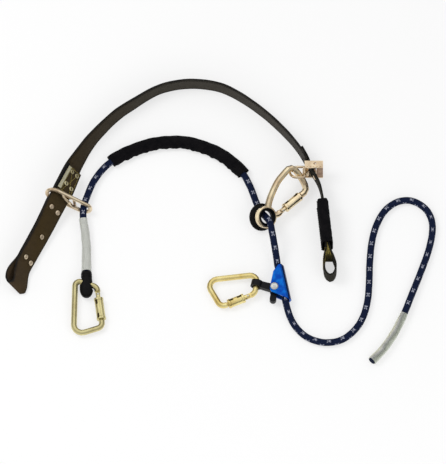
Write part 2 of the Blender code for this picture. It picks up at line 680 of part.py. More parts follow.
def build_boot(swing_at, axis):
    """The moulded boot round the rope's eye, with a flared hole for the carabiner."""
    rings = []
    top = BOOT_TOP
    profile = ((0.0, 0.72, 0.80), (0.0025, 0.80, 0.93), (0.008, 0.82, 1.0), (0.016, 0.84, 1.0), (0.028, 1.0, 1.0),
               (0.036, 1.0, 1.0), (0.044, 0.86, 0.90), (0.049, 0.62, 0.72), (BOOT_LENGTH, 0.36, 0.44))
    for drop, wide, high in profile:
        centre = np.array((swing_at[0], top - drop, swing_at[2]))
        rings.append(oval(centre, np.array((1.0, 0, 0)), np.array((0, 0, 1.0)), BOOT_WIDTH / 2 * wide,
                          BOOT_HEIGHT / 2 * high, 20))
    boot = loft_object("rope_eye_boot", rings)
    bore = CARABINER_ROD / 2 + 0.0007
    flare = turned_object("boot_hole", ((0, 0.016), (0.0100, 0.016), (bore, 0.005), (bore, -0.005),
                                        (0.0100, -0.016), (0, -0.016)), 20)
    cut(boot, flare, matrix=axis_frame(swing_at, axis))
    place(shade(boot), "black_rubber")


def coil_object(name, mean_radius, wire, bottom, top, turns):
    count = turns * COIL_STEPS
    points = []
    for i in range(count + 1):
        a = 2 * math.pi * i / COIL_STEPS
        height = bottom + (top - bottom) * i / count
        points.append((mean_radius * math.cos(a), mean_radius * math.sin(a), height))
    return to_mesh(tube_curve(name, points, wire / 2, 0))


def build_latch(prefix, mount, length, finish):
    """Gate, locking sleeve, rivet, springs and plunger. The mount's origin is the rivet, its Z runs
    along the gate to the latch, its Y is across the plane and its X points into the opening."""
    radius = GATE_ROD / 2
    hinge = new_empty(prefix + "_gate_hinge", mount)
    gate = turned_object(prefix + "_gate", (
        (0, length), (radius - 0.0008, length), (radius, length - 0.0008), (radius, NECK_TOP),
        (SPRING_NECK, NECK_TOP), (SPRING_NECK, NECK_BOTTOM), (radius, NECK_BOTTOM), (radius, -0.0024),
        (radius - 0.0008, -0.0032), (0, -0.0032)), 16)
    cut(gate, box_object(prefix + "_fork_slot", (0.02, FORK_SLOT, 0.0160), (0, 0, FORK_DEPTH - 0.0080)), hinge)
    cross = axis_frame((0, 0, 0), (0, 1, 0))
    hole = RIVET_PIN + CLEAR
    cut(gate, rod_object(prefix + "_gate_hole", hole, -0.01, 0.01, 14), hinge, cross)
    bore = rod_object(prefix + "_plunger_bore", PLUNGER_BORE, FORK_DEPTH - 0.001, PLUNGER_END, 14)
    cut(gate, bore, hinge)
    place(shade(gate), finish, hinge)
    pin = turned_object(prefix + "_gate_rivet", (
        (0, 0.0047), (RIVET_PIN, 0.0047), (RIVET_PIN, -0.0047), (0, -0.0047)), 14)
    place(shade(pin), "spring_steel", mount_parent(prefix), mount @ cross)

    twist = new_empty(prefix + "_sleeve_twist", Matrix(), hinge)
    start = SLEEVE_FROM
    end = length - SLEEVE_START
    outer = SLEEVE_RADIUS
    sleeve = turned_object(prefix + "_locking_sleeve", (
        (SLEEVE_BORE, end), (outer - 0.0006, end), (outer, end - 0.0006), (outer, end - 0.006),
        (outer - 0.0005, end - 0.0065), (outer - 0.0005, start + 0.0075), (outer, start + 0.007),
        (outer, start + 0.0006), (outer - 0.0006, start), (SLEEVE_BORE, start)), 16, True)
    window = (0.0120, 0.0045, 0.0060)
    cut(sleeve, box_object(prefix + "_upper_window", window, (-0.0090, 0, end - 0.0020)), twist)
    cut(sleeve, box_object(prefix + "_lower_window", window, (0.0090, 0, start + 0.0020)), twist)
    place(shade(sleeve), finish, twist)
    mean = (SPRING_NECK + SLEEVE_BORE) / 2
    coil = coil_object(prefix + "_sleeve_spring", mean, SPRING_WIRE, NECK_BOTTOM + 0.0009, NECK_TOP - 0.0009, 4)
    place(shade(coil), "spring_steel", hinge)
    plunger_foot = RIVET_TONGUE + 0.0004
    plunger = turned_object(prefix + "_gate_plunger", (
        (0, plunger_foot + 0.0035), (0.0015, plunger_foot + 0.0035), (0.0015, plunger_foot + 0.0008),
        (0.0008, plunger_foot), (0, plunger_foot)), 14)
    place(shade(plunger), "spring_steel", hinge)
    spring = coil_object(prefix + "_gate_spring", 0.0011, 0.0006, plunger_foot + 0.0042, PLUNGER_END - 0.0006, 4)
    place(shade(spring), "spring_steel", hinge)


def mount_parent(prefix):
    return bpy.data.objects.get(prefix + "_swing")


def tongue_outline(reach):
    """The hinge tongue about the rivet, running back to the shoulder."""
    points = [(-RIVET_TONGUE, -reach), (RIVET_TONGUE, -reach)]
    for a in np.linspace(0, math.pi, 9):
        points.append((RIVET_TONGUE * math.cos(a), RIVET_TONGUE * math.sin(a)))
    return points


def latch_frame(rivet_at, along, normal_sign):
    """In-plane latch placement: Z along the gate, Y across the plane, X into the opening."""
    z_axis = np.array((along[0], along[1], 0.0))
    z_axis = unit(z_axis)
    y_axis = np.array((0, 0, normal_sign))
    return frame_matrix((rivet_at[0], rivet_at[1], 0.0), np.cross(y_axis, z_axis), y_axis, z_axis)


def add_tongue(body, prefix, mount, parent):
    """The tongue is drawn in the mount's XZ plane and set across its Y."""
    lying = frame_matrix((0, 0, 0), (1, 0, 0), (0, 0, 1), (0, -1, 0))
    tongue = flat_object(prefix + "_tongue", tongue_outline(SHOULDER + 0.0020), TONGUE_THICKNESS)
    add(body, tongue, parent, mount @ lying)
    hole = rod_object(prefix + "_rivet_hole", RIVET_PIN + CLEAR, -0.01, 0.01, 14)
    cut(body, hole, parent, mount @ axis_frame((0, 0, 0), (0, 1, 0)))


def build_carabiner(prefix, swing_at, spine, swing_share, corners, radii, hinge_at):
    spine = unit(spine)
    left = unit(np.cross((0, 0, 1), spine))
    swing = new_empty(prefix + "_swing", frame_matrix(swing_at, spine, left, np.cross(spine, left)))
    corners = np.array(corners)
    origin = corners[2] + (corners[3] - corners[2]) * swing_share
    arcs = rounded_path(corners, radii, 5)
    along = unit(corners[2] - corners[1])
    path = [corners[1] + along * (hinge_at + SHOULDER)]
    for arc in (arcs[2], arcs[3], arcs[0], arcs[1]):
        path.extend(arc)
    path.append(corners[1] + along * LATCH_AT)
    flat = [(*(p - origin), 0.0) for p in path]
    body = to_mesh(tube_curve(prefix + "_body", flat, CARABINER_ROD / 2, 3))
    mount = latch_frame(corners[1] + along * hinge_at - origin, -along, -1)
    add_tongue(body, prefix, mount, swing)
    place(shade(body), "yellow_zinc", swing)
    build_latch_on(prefix, swing, mount, hinge_at - LATCH_AT - GATE_GAP, "yellow_zinc")
    return np.array(corners[3] - corners[2])


def build_latch_on(prefix, swing, mount, length, finish):
    build_latch(prefix, mount, length, finish)
    bpy.data.objects[prefix + "_gate_hinge"].parent = swing


def capsule(first, first_radius, second, second_radius, steps=10):
    """The outline round two circles."""
    first = np.array(first, float)
    second = np.array(second, float)
    ahead = second - first
    length = np.linalg.norm(ahead)
    base = math.atan2(ahead[1], ahead[0])
    lean = math.asin((first_radius - second_radius) / length)
    points = []
    for a in np.linspace(-math.pi / 2 + lean, math.pi / 2 - lean, steps):
        points.append(second + second_radius * np.array((math.cos(base + a), math.sin(base + a))))
    for a in np.linspace(math.pi / 2 - lean, 3 * math.pi / 2 + lean, steps):
        points.append(first + first_radius * np.array((math.cos(base + a), math.sin(base + a))))
    return points


def bullet(radius, reach_left, steps=12):
    """Half round on +X, straight back to the left."""
    points = [(-reach_left, -radius)]
    for a in np.linspace(-math.pi / 2, math.pi / 2, steps):
        points.append((radius * math.cos(a), radius * math.sin(a)))
    return points + [(-reach_left, radius)]


def build_adjuster():
    lift = Matrix.Translation((0, 0, ADJUSTER_MID))
    start = np.array((*SHELL_FROM, ADJUSTER_MID))
    end = np.array((*SHELL_TO, ADJUSTER_MID))
    along = unit(end - start)
    right = unit(np.cross((0, 0, 1), along))
    fold = frame_matrix((start + end) / 2, right, (0, 0, 1), np.cross(right, (0, 0, 1)))
    shell = flat_object("adjuster_shell", SHELL_OUTLINE, 2 * SHELL_OUTER)
    outer = flat_object("adjuster_fold_outside", bullet(SHELL_OUTER, 0.06), 0.16)
    place(outer, None, None, fold, cutter=True)
    outer.name = "adjuster_fold_outside"
    shell.data.transform(lift)
    boolean(shell, outer, 'INTERSECT')
    cut(shell, flat_object("adjuster_fold_inside", bullet(SHELL_OUTER - SHELL_PLATE, 0.06), 0.16), None, fold)
    at_axle = Matrix.Translation((*AXLE_AT, ADJUSTER_MID))
    cut(shell, rod_object("adjuster_axle_hole", AXLE_RADIUS + CLEAR, -0.02, 0.02, 18), None, at_axle)
    place(shade(shell, 30), "blue_anodised")

    top = SHELL_OUTER + CLEAR
    foot = -top
    axle = turned_object("adjuster_axle", (
        (0, top + 0.0032), (0.0030, top + 0.0030), (0.0058, top + 0.0020), (AXLE_HEAD, top + 0.0008),
        (AXLE_HEAD, top), (AXLE_RADIUS, top), (AXLE_RADIUS, foot), (AXLE_TAIL, foot),
        (AXLE_TAIL - 0.0008, foot - 0.0014), (0, foot - 0.0014)), 24)
    place(shade(axle), "silver", None, at_axle)

    hinge = new_empty("adjuster_cam_hinge", Matrix.Translation((*AXLE_AT, ARM_MID)))
    axle_at = np.array(AXLE_AT)
    eye_at = np.array(ARM_EYE_AT) - axle_at
    thumb_at = np.array(THUMB_AT) - axle_at
    arm = flat_object("adjuster_cam_arm", capsule((0, 0), CAM_RADIUS - 0.0004, eye_at, ARM_EYE_WIDTH / 2),
                      ARM_THICKNESS)
    cam_at = (np.array((right[0], right[1]))) * CAM_OFFSET
    add(arm, rod_object("adjuster_cam", CAM_RADIUS, -ARM_THICKNESS / 2 + 0.0001, ARM_THICKNESS / 2 - 0.0001, 28),
        hinge, Matrix.Translation((*cam_at, 0)))
    thumb = flat_object("adjuster_thumb", capsule((0, 0), 0.0045, thumb_at, THUMB_RADIUS), ARM_THICKNESS - 0.0006)
    add(arm, thumb, hinge)
    eye_axis = (*unit(ARM_EYE_AXIS), 0.0)
    half = ARM_EYE_WIDTH / 2
    at_eye = axis_frame((*eye_at, 0), eye_axis)
    add(arm, rod_object("adjuster_arm_eye", ARM_EYE_RADIUS, -half, half, 28), hinge, at_eye)
    hole = ARM_EYE_HOLE
    eye_hole = turned_object("adjuster_arm_eye_hole", (
        (0, 0.012), (hole + 0.0040, 0.012), (hole, 0.0035), (hole, -0.0035), (hole + 0.0040, -0.012),
        (0, -0.012)), 24)
    cut(arm, eye_hole, hinge, at_eye)
    cut(arm, rod_object("adjuster_arm_axle_hole", AXLE_RADIUS + CLEAR, -0.02, 0.02, 18), hinge)
    place(shade(arm, 35), "black_cast", hinge)
    spring_top = ADJUSTER_MID + SHELL_OUTER - SHELL_PLATE - 0.0008
    bottom = ARM_MID + ARM_THICKNESS / 2 + 0.0008
    spring = coil_object("adjuster_cam_spring", 0.0052, 0.0009, bottom, spring_top, 2)
    place(shade(spring), "spring_steel", None, Matrix.Translation((*AXLE_AT, 0)))


def build_hook():
    normal = unit(EYE_NORMAL)
    spine = unit(HOOK_SPINE_AXIS)
    swing = new_empty("hook_swing", frame_matrix(EYE_CENTRE, spine, unit(np.cross(normal, spine)), normal))
    half = EYE_THICKNESS / 2
    body = turned_object("hook_body", (
        (EYE_HOLE, half - 0.0010), (EYE_HOLE + 0.0010, half), (EYE_RADIUS - 0.0016, half),
        (EYE_RADIUS, half - 0.0016), (EYE_RADIUS, 0.0016 - half), (EYE_RADIUS - 0.0016, -half),
        (EYE_HOLE + 0.0010, -half), (EYE_HOLE, 0.0010 - half)), 26, True)
    path = [(*p, 0.0) for p in smooth_points(HOOK_ROUTE, 20)]
    add(body, to_mesh(tube_curve("hook_spine", path, HOOK_ROD / 2, 3)), swing)
    foot = [(*p, 0.0) for p in smooth_points(HOOK_FOOT, 8)]
    add(body, to_mesh(tube_curve("hook_foot", foot, HOOK_ROD / 2 - 0.0003, 4)), swing)
    mount = latch_frame(HOOK_HINGE_AT, HOOK_GATE_AXIS, 1)
    add_tongue(body, "hook", mount, swing)
    place(shade(body), "champagne_zinc", swing)
    build_latch_on("hook", swing, mount, HOOK_GATE_LENGTH, "champagne_zinc")

    spin = new_empty("bush_spin", Matrix(), swing)
    inner = EYE_HOLE - CLEAR
    front = half + CLEAR
    back = front + 0.0009
    bush = turned_object("hook_eye_bush", (
        (BUSH_LIP - 0.0012, front + 0.0018), (BUSH_LIP - 0.0006, front + 0.0018), (BUSH_LIP, front + 0.0010), (BUSH_LIP, front),
        (inner, front), (inner, -back), (0.0185, -back), (0.0195, -0.0110), (BUSH_FLANGE, 0.0040 - BUSH_DEPTH),
        (BUSH_FLANGE, 0.0008 - BUSH_DEPTH), (BUSH_FLANGE - 0.0008, -BUSH_DEPTH), (0.0210, -BUSH_DEPTH),
        (0.0160, -0.0110), (BUSH_BORE, -0.0040), (BUSH_BORE, 0.0030)), 24, True)
    place(shade(bush), "black_rubber", spin)


def build_d_ring():
    axis = unit(D_RING_AXIS)
    left = np.array((-1.0, 0.0, 0.0))
    pivot = new_empty("d_ring_hinge", frame_matrix(D_RING_AT, left, axis, np.cross(left, axis)))
    points = [(0, -D_RING_RADIUS + 0.003, 0), (0.003, -D_RING_RADIUS, 0)]
    for a in np.linspace(-math.pi / 2, math.pi / 2, 13):
        points.append((D_RING_SIDE + D_RING_RADIUS * math.cos(a), D_RING_RADIUS * math.sin(a), 0))
    points += [(0.003, D_RING_RADIUS, 0), (0, D_RING_RADIUS - 0.003, 0)]
    ring = to_mesh(tube_curve("d_ring", points, D_RING_WIRE / 2, 3, True))
    place(shade(ring), "champagne_zinc", pivot)


def build_buckle():
    centre_z = (BUCKLE_BASE + BUCKLE_TOP) / 2
    low = BUCKLE_BASE + BUCKLE_PLATE / 2
    high = BUCKLE_TOP - BUCKLE_PLATE / 2
    size = (BUCKLE_LENGTH, BUCKLE_DEPTH, BUCKLE_PLATE)
    frame = box_object("buckle_frame", size, (*BUCKLE_CENTRE, low))
    add(frame, box_object("buckle_top_plate", size, (*BUCKLE_CENTRE, high)))
    for name, at in (("buckle_front_post", FRONT_POST_AT), ("buckle_rear_post", REAR_POST_AT)):
        post = rod_object(name, POST_RADIUS, low, high, 18)
        add(frame, post, None, Matrix.Translation((*at, 0)))
    lug_frame = axis_frame(D_RING_AT, D_RING_AXIS)
    web_ends = capsule(D_RING_AT[:2], 0.0032, FRONT_POST_AT, 0.0030, 8)
    add(frame, flat_object("d_ring_web", web_ends, 0.0070), None, Matrix.Translation((0, 0, D_RING_AT[2])))
    add(frame, rod_object("d_ring_lug", LUG_RADIUS, -LUG_WIDTH / 2, LUG_WIDTH / 2, 20), None, lug_frame)
    bore = D_RING_WIRE / 2 + RUN_CLEAR
    cut(frame, rod_object("d_ring_bore", bore, -0.02, 0.02, 18), None, lug_frame)
    slide = unit(GRIP_AXIS[:2]) * GRIP_TRAVEL
    slot = flat_object("grip_slots", capsule((0, 0), GRIP_PIN + CLEAR, slide, GRIP_PIN + CLEAR - 0.00001, 8), 0.08)
    cut(frame, slot, None, Matrix.Translation((*GRIP_AT, centre_z)))
    front_edge = BUCKLE_CENTRE[1] - BUCKLE_DEPTH / 2
    teeth = []
    for i in range(BUCKLE_TEETH):
        x = BUCKLE_CENTRE[0] + (i - (BUCKLE_TEETH - 1) / 2) * 0.0060
        teeth.append((box_object("notch", (0.0024, 0.0050, 0.0030), (x, front_edge, BUCKLE_TOP)), Matrix()))
    cut(frame, joined("buckle_notches", teeth))
    place(shade(frame, 30), "champagne_zinc")

    bar_top = high - BUCKLE_PLATE / 2 - CLEAR - centre_z
    pin_top = BUCKLE_TOP - 0.0002 - centre_z
    rows = [(0, pin_top), (GRIP_PIN, pin_top), (GRIP_PIN, bar_top)]
    grooves = 6
    step = 2 * bar_top / grooves
    for i in range(grooves):
        z = bar_top - i * step
        rows += [(GRIP_RADIUS - 0.0005, z), (GRIP_RADIUS, z - step * 0.3), (GRIP_RADIUS, z - step * 0.7)]
    rows += [(GRIP_RADIUS - 0.0005, -bar_top), (GRIP_PIN, -bar_top), (GRIP_PIN, -pin_top), (0, -pin_top)]
    pivot = new_empty("grip_bar_slide", Matrix.Translation((*GRIP_AT, centre_z)))
    place(shade(turned_object("buckle_grip_bar", rows, 12), 25), "silver", pivot)
    height = 2 * bar_top
    keeper = box_object("buckle_keeper", (KEEPER_WIDTH, KEEPER_THICKNESS, height), (*KEEPER_AT, centre_z))
    place(keeper, "silver")


def build_tail(strap):
    """The narrower webbing sewn behind the strap's end, through the buckle and down to its loop."""
    step_back = (STRAP_THICKNESS + TAIL_THICKNESS) / 2 + LAYER_GAP
    length = distances(strap)[-1]
    lap = []
    for back in (0.024, 0.012, 0.001):
        row = frames_at(strap, [length - back])[0]
        x, y = (row[:3] - row[6:9] * step_back)[:2]
        lap.append((x, y, 0.0060, 0.0))
    stations = smooth_points(lap + list(TAIL_ROUTE), TAIL_STATIONS)
    frames = ribbon_frames(stations)
    tail = ribbon_object("strap_tail", frames, TAIL_WIDTH, TAIL_THICKNESS)
    half = TAIL_THICKNESS / 2
    places = rivet_places(frames, 0.0, (TAIL_RIVET,))
    cut(tail, rod_object("tail_rivet_hole", RIVET_SHANK + CLEAR, -0.01, 0.01, 12), None, places[0])
    place(tail, "tail_webbing")
    rivet = turned_object("tail_rivet", rivet_profile(half, -half), 10)
    place(shade(rivet), "copper", None, places[0])

    top = np.array(WRAP_TOP)
    bottom = np.array(WRAP_BOTTOM)
    along = np.array((*unit(bottom - top), 0.0))
    side = np.array((-along[1], along[0], 0.0))
    up = np.array((0, 0, 1.0))
    middle = WRAP_BASE + WRAP_HEIGHT / 2
    outside, inside = [], []
    for t, share in ((0, 0.94), (0.06, 1), (0.5, 0.98), (0.94, 1), (1, 0.96)):
        centre = np.array((*(top + (bottom - top) * t), middle))
        outside.append(rounded_box(centre, side, up, WRAP_WIDTH / 2 * share, WRAP_HEIGHT / 2, 0.005))
        inside.append(rounded_box(centre, side, up, WRAP_WIDTH / 2 * share - WRAP_WALL,
                                  WRAP_HEIGHT / 2 - WRAP_WALL, 0.0035))
    place(shade(loft_object("tail_wrap", outside + inside[::-1], closed=True)), "black_fabric")


def rounded_box(centre, side, up, half_width, half_height, corner):
    points = []
    for quarter in range(4):
        x = (half_width - corner) * (1 if quarter in (0, 3) else -1)
        y = (half_height - corner) * (1 if quarter in (0, 1) else -1)
        for a in np.linspace(0, math.pi / 2, 4):
            turn = a + quarter * math.pi / 2
            points.append(centre + side * (x + corner * math.cos(turn)) + up * (y + corner * math.sin(turn)))
    return points


clear_scene()
PARTS = make_collection("parts")
CUTTERS = make_collection("cutters")
new_empty(ORIGIN_NAME, Matrix.Translation(ORIGIN_SHIFT))
STRAP_FRAMES, RING_AT = strap_frames()
build_strap(STRAP_FRAMES, RING_AT)
build_ring()
build_rope()
LEFT_AXIS = build_carabiner("left_carabiner", LEFT_SWING_AT, LEFT_SPINE, LEFT_SWING_SHARE, LEFT_CORNERS,
                            LEFT_RADII, LEFT_HINGE_AT)
build_carabiner("middle_carabiner", MIDDLE_SWING_AT, MIDDLE_SPINE, MIDDLE_SWING_SHARE, CARABINER_CORNERS,
                CARABINER_RADII, HINGE_AT)
build_boot(LEFT_SWING_AT, (-LEFT_AXIS[1], LEFT_AXIS[0], 0.0))
build_adjuster()
build_hook()
build_d_ring()
build_buckle()
build_tail(STRAP_FRAMES)
CUTTERS.hide_render = True
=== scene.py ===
"""Looks of the pole climbing fall restrictor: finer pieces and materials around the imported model."""
import json
import math

import bmesh
import bpy
import numpy as np
from mathutils import Matrix, Vector


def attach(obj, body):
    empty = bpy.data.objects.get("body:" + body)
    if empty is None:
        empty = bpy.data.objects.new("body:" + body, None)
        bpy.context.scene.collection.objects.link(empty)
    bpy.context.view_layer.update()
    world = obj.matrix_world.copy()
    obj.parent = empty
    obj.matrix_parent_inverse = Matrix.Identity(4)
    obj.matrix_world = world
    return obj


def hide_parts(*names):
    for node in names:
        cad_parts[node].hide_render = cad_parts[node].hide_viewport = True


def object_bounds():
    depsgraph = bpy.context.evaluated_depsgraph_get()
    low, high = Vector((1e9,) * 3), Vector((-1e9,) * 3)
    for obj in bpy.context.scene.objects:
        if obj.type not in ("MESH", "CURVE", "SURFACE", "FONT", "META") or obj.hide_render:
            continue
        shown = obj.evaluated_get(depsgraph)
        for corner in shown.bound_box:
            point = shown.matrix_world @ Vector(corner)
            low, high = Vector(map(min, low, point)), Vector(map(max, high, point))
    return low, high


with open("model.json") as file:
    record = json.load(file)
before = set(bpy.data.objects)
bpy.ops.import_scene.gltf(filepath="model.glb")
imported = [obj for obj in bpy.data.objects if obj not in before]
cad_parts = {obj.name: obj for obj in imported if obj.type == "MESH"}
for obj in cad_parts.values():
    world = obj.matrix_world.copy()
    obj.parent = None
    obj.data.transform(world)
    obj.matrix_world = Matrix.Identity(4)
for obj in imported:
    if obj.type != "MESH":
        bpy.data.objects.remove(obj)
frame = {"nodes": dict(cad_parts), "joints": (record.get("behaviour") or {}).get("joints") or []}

CAD_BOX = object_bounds()
# How far along X, from the left end, the strap's colours run, in metres
STRAP_REACH = 0.614
MATT = {"Sheen Weight": 0.01, "Specular IOR Level": 0.10}
WELD = 0.000001

# From the lay-out in which the routes are written to the model's origin, in metres
SHIFT = Matrix.Translation((0.09102, -0.01998, -0.00032))
SHIFT_BACK = SHIFT.inverted()
# Finish of each latch, and how many degrees its windows are turned from the opening towards the top
LATCHES = {"left_carabiner": ("yellow_zinc", 50.0), "middle_carabiner": ("gold_zinc", 62.0),
           "hook": ("champagne_zinc", 15.0)}

# Named sizes and routes, the same as in the model's own source, in metres; the last number of each
# point on a strap's route is its lean in degrees

STRAP_WIDTH = 0.040
STRAP_THICKNESS = 0.0042
LAYER_GAP = 0.0007
PATCH_GAP = 0.0013
LEAN_AZIMUTH = 153.0
TAIL_WIDTH = 0.034
TAIL_THICKNESS = 0.0032
ROPE_DIAMETER = 0.0127
WEAR_SLEEVE_WIDTH = 0.0270
WEAR_SLEEVE_HEIGHT = 0.0172
BOOT_WIDTH = 0.0260
BOOT_HEIGHT = 0.0200
BOOT_LENGTH = 0.0515
BOOT_TOP = -0.1060
RIVET_HEAD = 0.0046
RIVET_SHANK = 0.0022
RIVET_SEAT = 0.0011
HEAD_HEIGHT = 0.0012
CARABINER_ROD = 0.0110
LEFT_SWING_AT = (-0.247, -0.1295, 0.0110)
CLEAR_SLEEVE_SPAN = (0.0010, 0.1060)
WEAR_SLEEVE_SPAN = (0.2400, 0.5130)
END_SLEEVE_LENGTH = 0.1150
STRAP_STATIONS = 104
RETURN_COUNT = 9
RETURN_STOP = 0.0130
RETURN_START = 0.0100
PATCH_SPAN = (0.0110, 0.0680)
TAG_ACROSS = (0.0290, 0.0360)
TAG_THICKNESS = 0.0007
TAG_GAP = 0.0009
LEG_RIVETS = ((-0.021, 0.0270), (-0.023, 0.0100), (-0.080, 0.0170), (-0.132, 0.0270), (-0.134, 0.0100))
PATCH_RIVETS = ((0.0580, 0.0235), (0.0580, 0.0095), (0.0300, 0.0235), (0.0270, 0.0090))
WRAP_TOP = (0.1893, 0.0290)
WRAP_BOTTOM = (0.1985, -0.0580)
WRAP_WIDTH = 0.0215
WRAP_HEIGHT = 0.0450
WRAP_BASE = 0.0008
TAIL_STATIONS = 60
TAIL_RIVET = (0.0620, 0.0200)
RING_STATION = (-0.2815, 0.0290, 0.0231, 58)
ROPE_ROUTE = (
    (-0.247, -0.1057, 0.0105), (-0.247, -0.085, 0.0105), (-0.247, -0.060, 0.0110),
    (-0.249, -0.030, 0.0125), (-0.253, -0.002, 0.0150), (-0.2524, 0.0216, 0.0160),
    (-0.246, 0.046, 0.0125), (-0.232, 0.081, 0.0095), (-0.207, 0.113, 0.0092), (-0.170, 0.137, 0.0092),
    (-0.130, 0.152, 0.0092), (-0.092, 0.158, 0.0092), (-0.055, 0.155, 0.0092), (-0.017, 0.142, 0.0092),
    (0.015, 0.122, 0.0092), (0.041, 0.096, 0.0092), (0.056, 0.067, 0.0095), (0.066, 0.036, 0.0150),
    (0.0744, 0.0126, 0.0222), (0.0850, -0.0040, 0.0315), (0.0925, -0.0180, 0.0385),
    (0.0965, -0.0375, 0.0370), (0.1010, -0.0600, 0.0265), (0.1045, -0.0800, 0.0180),
    (0.1064, -0.0930, 0.0138), (0.1080, -0.1010, 0.0135), (0.1145, -0.1330, 0.0135),
    (0.1210, -0.1650, 0.0135), (0.1230, -0.1745, 0.0134), (0.1275, -0.1900, 0.0095),
    (0.1345, -0.2060, 0.0067), (0.147, -0.224, 0.0067), (0.166, -0.239, 0.0067), (0.194, -0.247, 0.0067),
    (0.224, -0.242, 0.0067), (0.248, -0.223, 0.0067), (0.264, -0.197, 0.0067), (0.273, -0.163, 0.0067),
    (0.276, -0.124, 0.0067), (0.277, -0.086, 0.0067), (0.281, -0.043, 0.0067), (0.290, -0.008, 0.0067),
    (0.306, 0.021, 0.0067), (0.329, 0.038, 0.0067), (0.354, 0.040, 0.0067), (0.377, 0.027, 0.0067),
    (0.390, 0.006, 0.0067), (0.393, -0.021, 0.0067), (0.386, -0.060, 0.0067), (0.371, -0.106, 0.0072),
    (0.355, -0.150, 0.0082), (0.340, -0.191, 0.0086), (0.322, -0.230, 0.0086), (0.302, -0.261, 0.0086),
    (0.280, -0.286, 0.0086))
LEG_ROUTE = (
    (-0.3535, -0.1065, 0.0064, 40), (-0.3440, -0.0880, 0.0076, 40), (-0.3270, -0.0560, 0.0080, 42),
    (-0.3100, -0.0240, 0.0112, 45), (-0.2960, 0.0020, 0.0168, 51))
LOOP_ROUTE = (
    (-0.3650, -0.1120, 0.0034, 40), (-0.3718, -0.1240, 0.0024, 40), (-0.3735, -0.1370, 0.0024, 40),
    (-0.3690, -0.1470, 0.0024, 40), (-0.3610, -0.1455, 0.0032, 40), (-0.3572, -0.1335, 0.0044, 40),
    (-0.3562, -0.1200, 0.0054, 40))
ARC_ROUTE = (
    (-0.2716, 0.0570, 0.0190, 51), (-0.2616, 0.0900, 0.0115, 40), (-0.2505, 0.1190, 0.0045, 28),
    (-0.2362, 0.1480, 0.0016, 19), (-0.2180, 0.1735, 0.0010, 14), (-0.1880, 0.2060, 0.0008, 10),
    (-0.1595, 0.2285, 0.0006, 6), (-0.1203, 0.2552, 0.0004, 2), (-0.0850, 0.2675, 0.0004, 0),
    (-0.0450, 0.2710, 0.0004, 0), (0.0000, 0.2635, 0.0004, 0), (0.0380, 0.2440, 0.0004, 0),
    (0.0740, 0.2170, 0.0004, 0), (0.1040, 0.1890, 0.0006, 0), (0.1300, 0.1600, 0.0014, 0),
    (0.1480, 0.1340, 0.0032, 0), (0.1590, 0.1130, 0.0044, 0))
TAIL_ROUTE = (
    (0.1640, 0.1122, 0.0050, 0), (0.1668, 0.1030, 0.0050, 0), (0.1702, 0.0920, 0.0044, 0),
    (0.1755, 0.0830, 0.0044, 0), (0.1810, 0.0720, 0.0040, 0), (0.1860, 0.0580, 0.0032, 0),
    (0.1900, 0.0380, 0.0030, 0), (0.1930, 0.0140, 0.0030, 0), (0.1960, -0.0160, 0.0030, 0),
    (0.1990, -0.0440, 0.0028, 0), (0.2030, -0.0660, 0.0028, 0), (0.2105, -0.0840, 0.0012, 0),
    (0.2145, -0.1000, 0.0004, 0), (0.2115, -0.1150, 0.0004, 0), (0.2040, -0.1210, 0.0004, 0),
    (0.1955, -0.1140, 0.0004, 0), (0.1925, -0.0990, 0.0006, 0), (0.1930, -0.0820, 0.0016, 0),
    (0.1965, -0.0640, 0.0030, 0), (0.1936, -0.0430, 0.0028, 0), (0.1906, -0.0150, 0.0030, 0))

# The direction of the boot's hole, and where the neck of the tail's loop is sewn

LEFT_BOOT_AXIS = (-0.9446, 0.3281, 0.0085)
NECK_SEAM_BACK = 0.0660
NECK_TOP = -0.0560
NECK_BOTTOM = -0.0815


def unit(vector):
    vector = np.asarray(vector, float)
    return vector / np.linalg.norm(vector)


def frame_matrix(origin, x_axis, y_axis, z_axis):
    rotation = Matrix((x_axis, y_axis, z_axis)).transposed().to_4x4()
    return Matrix.Translation(Vector(origin)) @ rotation


def axis_frame(origin, z_axis):
    """A placement whose Z lies along z_axis, which isn't upright."""
    z_axis = unit(z_axis)
    side = unit(np.cross((0.0, 0.0, 1.0), z_axis))
    return frame_matrix(origin, side, np.cross(z_axis, side), z_axis)


# Camera, floor and light

CAMERA_ELEVATION = 66.0
PIXEL = 0.00185
PICTURE_HEIGHT = 464
CAMERA_DISTANCE = 3.0
AIM = Vector((0.09657, -0.04023, 0.0))
EVEN_LIGHT = 0.62
FLOOR_WHITENESS = 0.62
FLOOR_REACH = 4.0
FLOOR_DROP = 0.0002
LIGHT_AIM = (0.1, 0.0, 0.0)


def make_camera():
    data = bpy.data.cameras.new("camera")
    data.type = 'ORTHO'
    data.ortho_scale = PICTURE_HEIGHT * PIXEL
    data.clip_end = 20.0
    camera = bpy.data.objects.new("camera", data)
    tilt = math.radians(CAMERA_ELEVATION)
    camera.location = AIM + Vector((0.0, -math.cos(tilt), math.sin(tilt))) * CAMERA_DISTANCE
    camera.rotation_euler = (math.pi / 2 - tilt, 0.0, 0.0)
    bpy.context.scene.collection.objects.link(camera)
    bpy.context.scene.camera = camera


def area_light(name, location, size, power):
    data = bpy.data.lights.new(name, 'AREA')
    data.shape = 'SQUARE'
    data.size = size
    data.energy = power
    light = bpy.data.objects.new(name, data)
    light.location = location
    light.visible_glossy = False
    light.rotation_euler = (Vector(LIGHT_AIM) - Vector(location)).to_track_quat('-Z', 'Y').to_euler()
    bpy.context.scene.collection.objects.link(light)


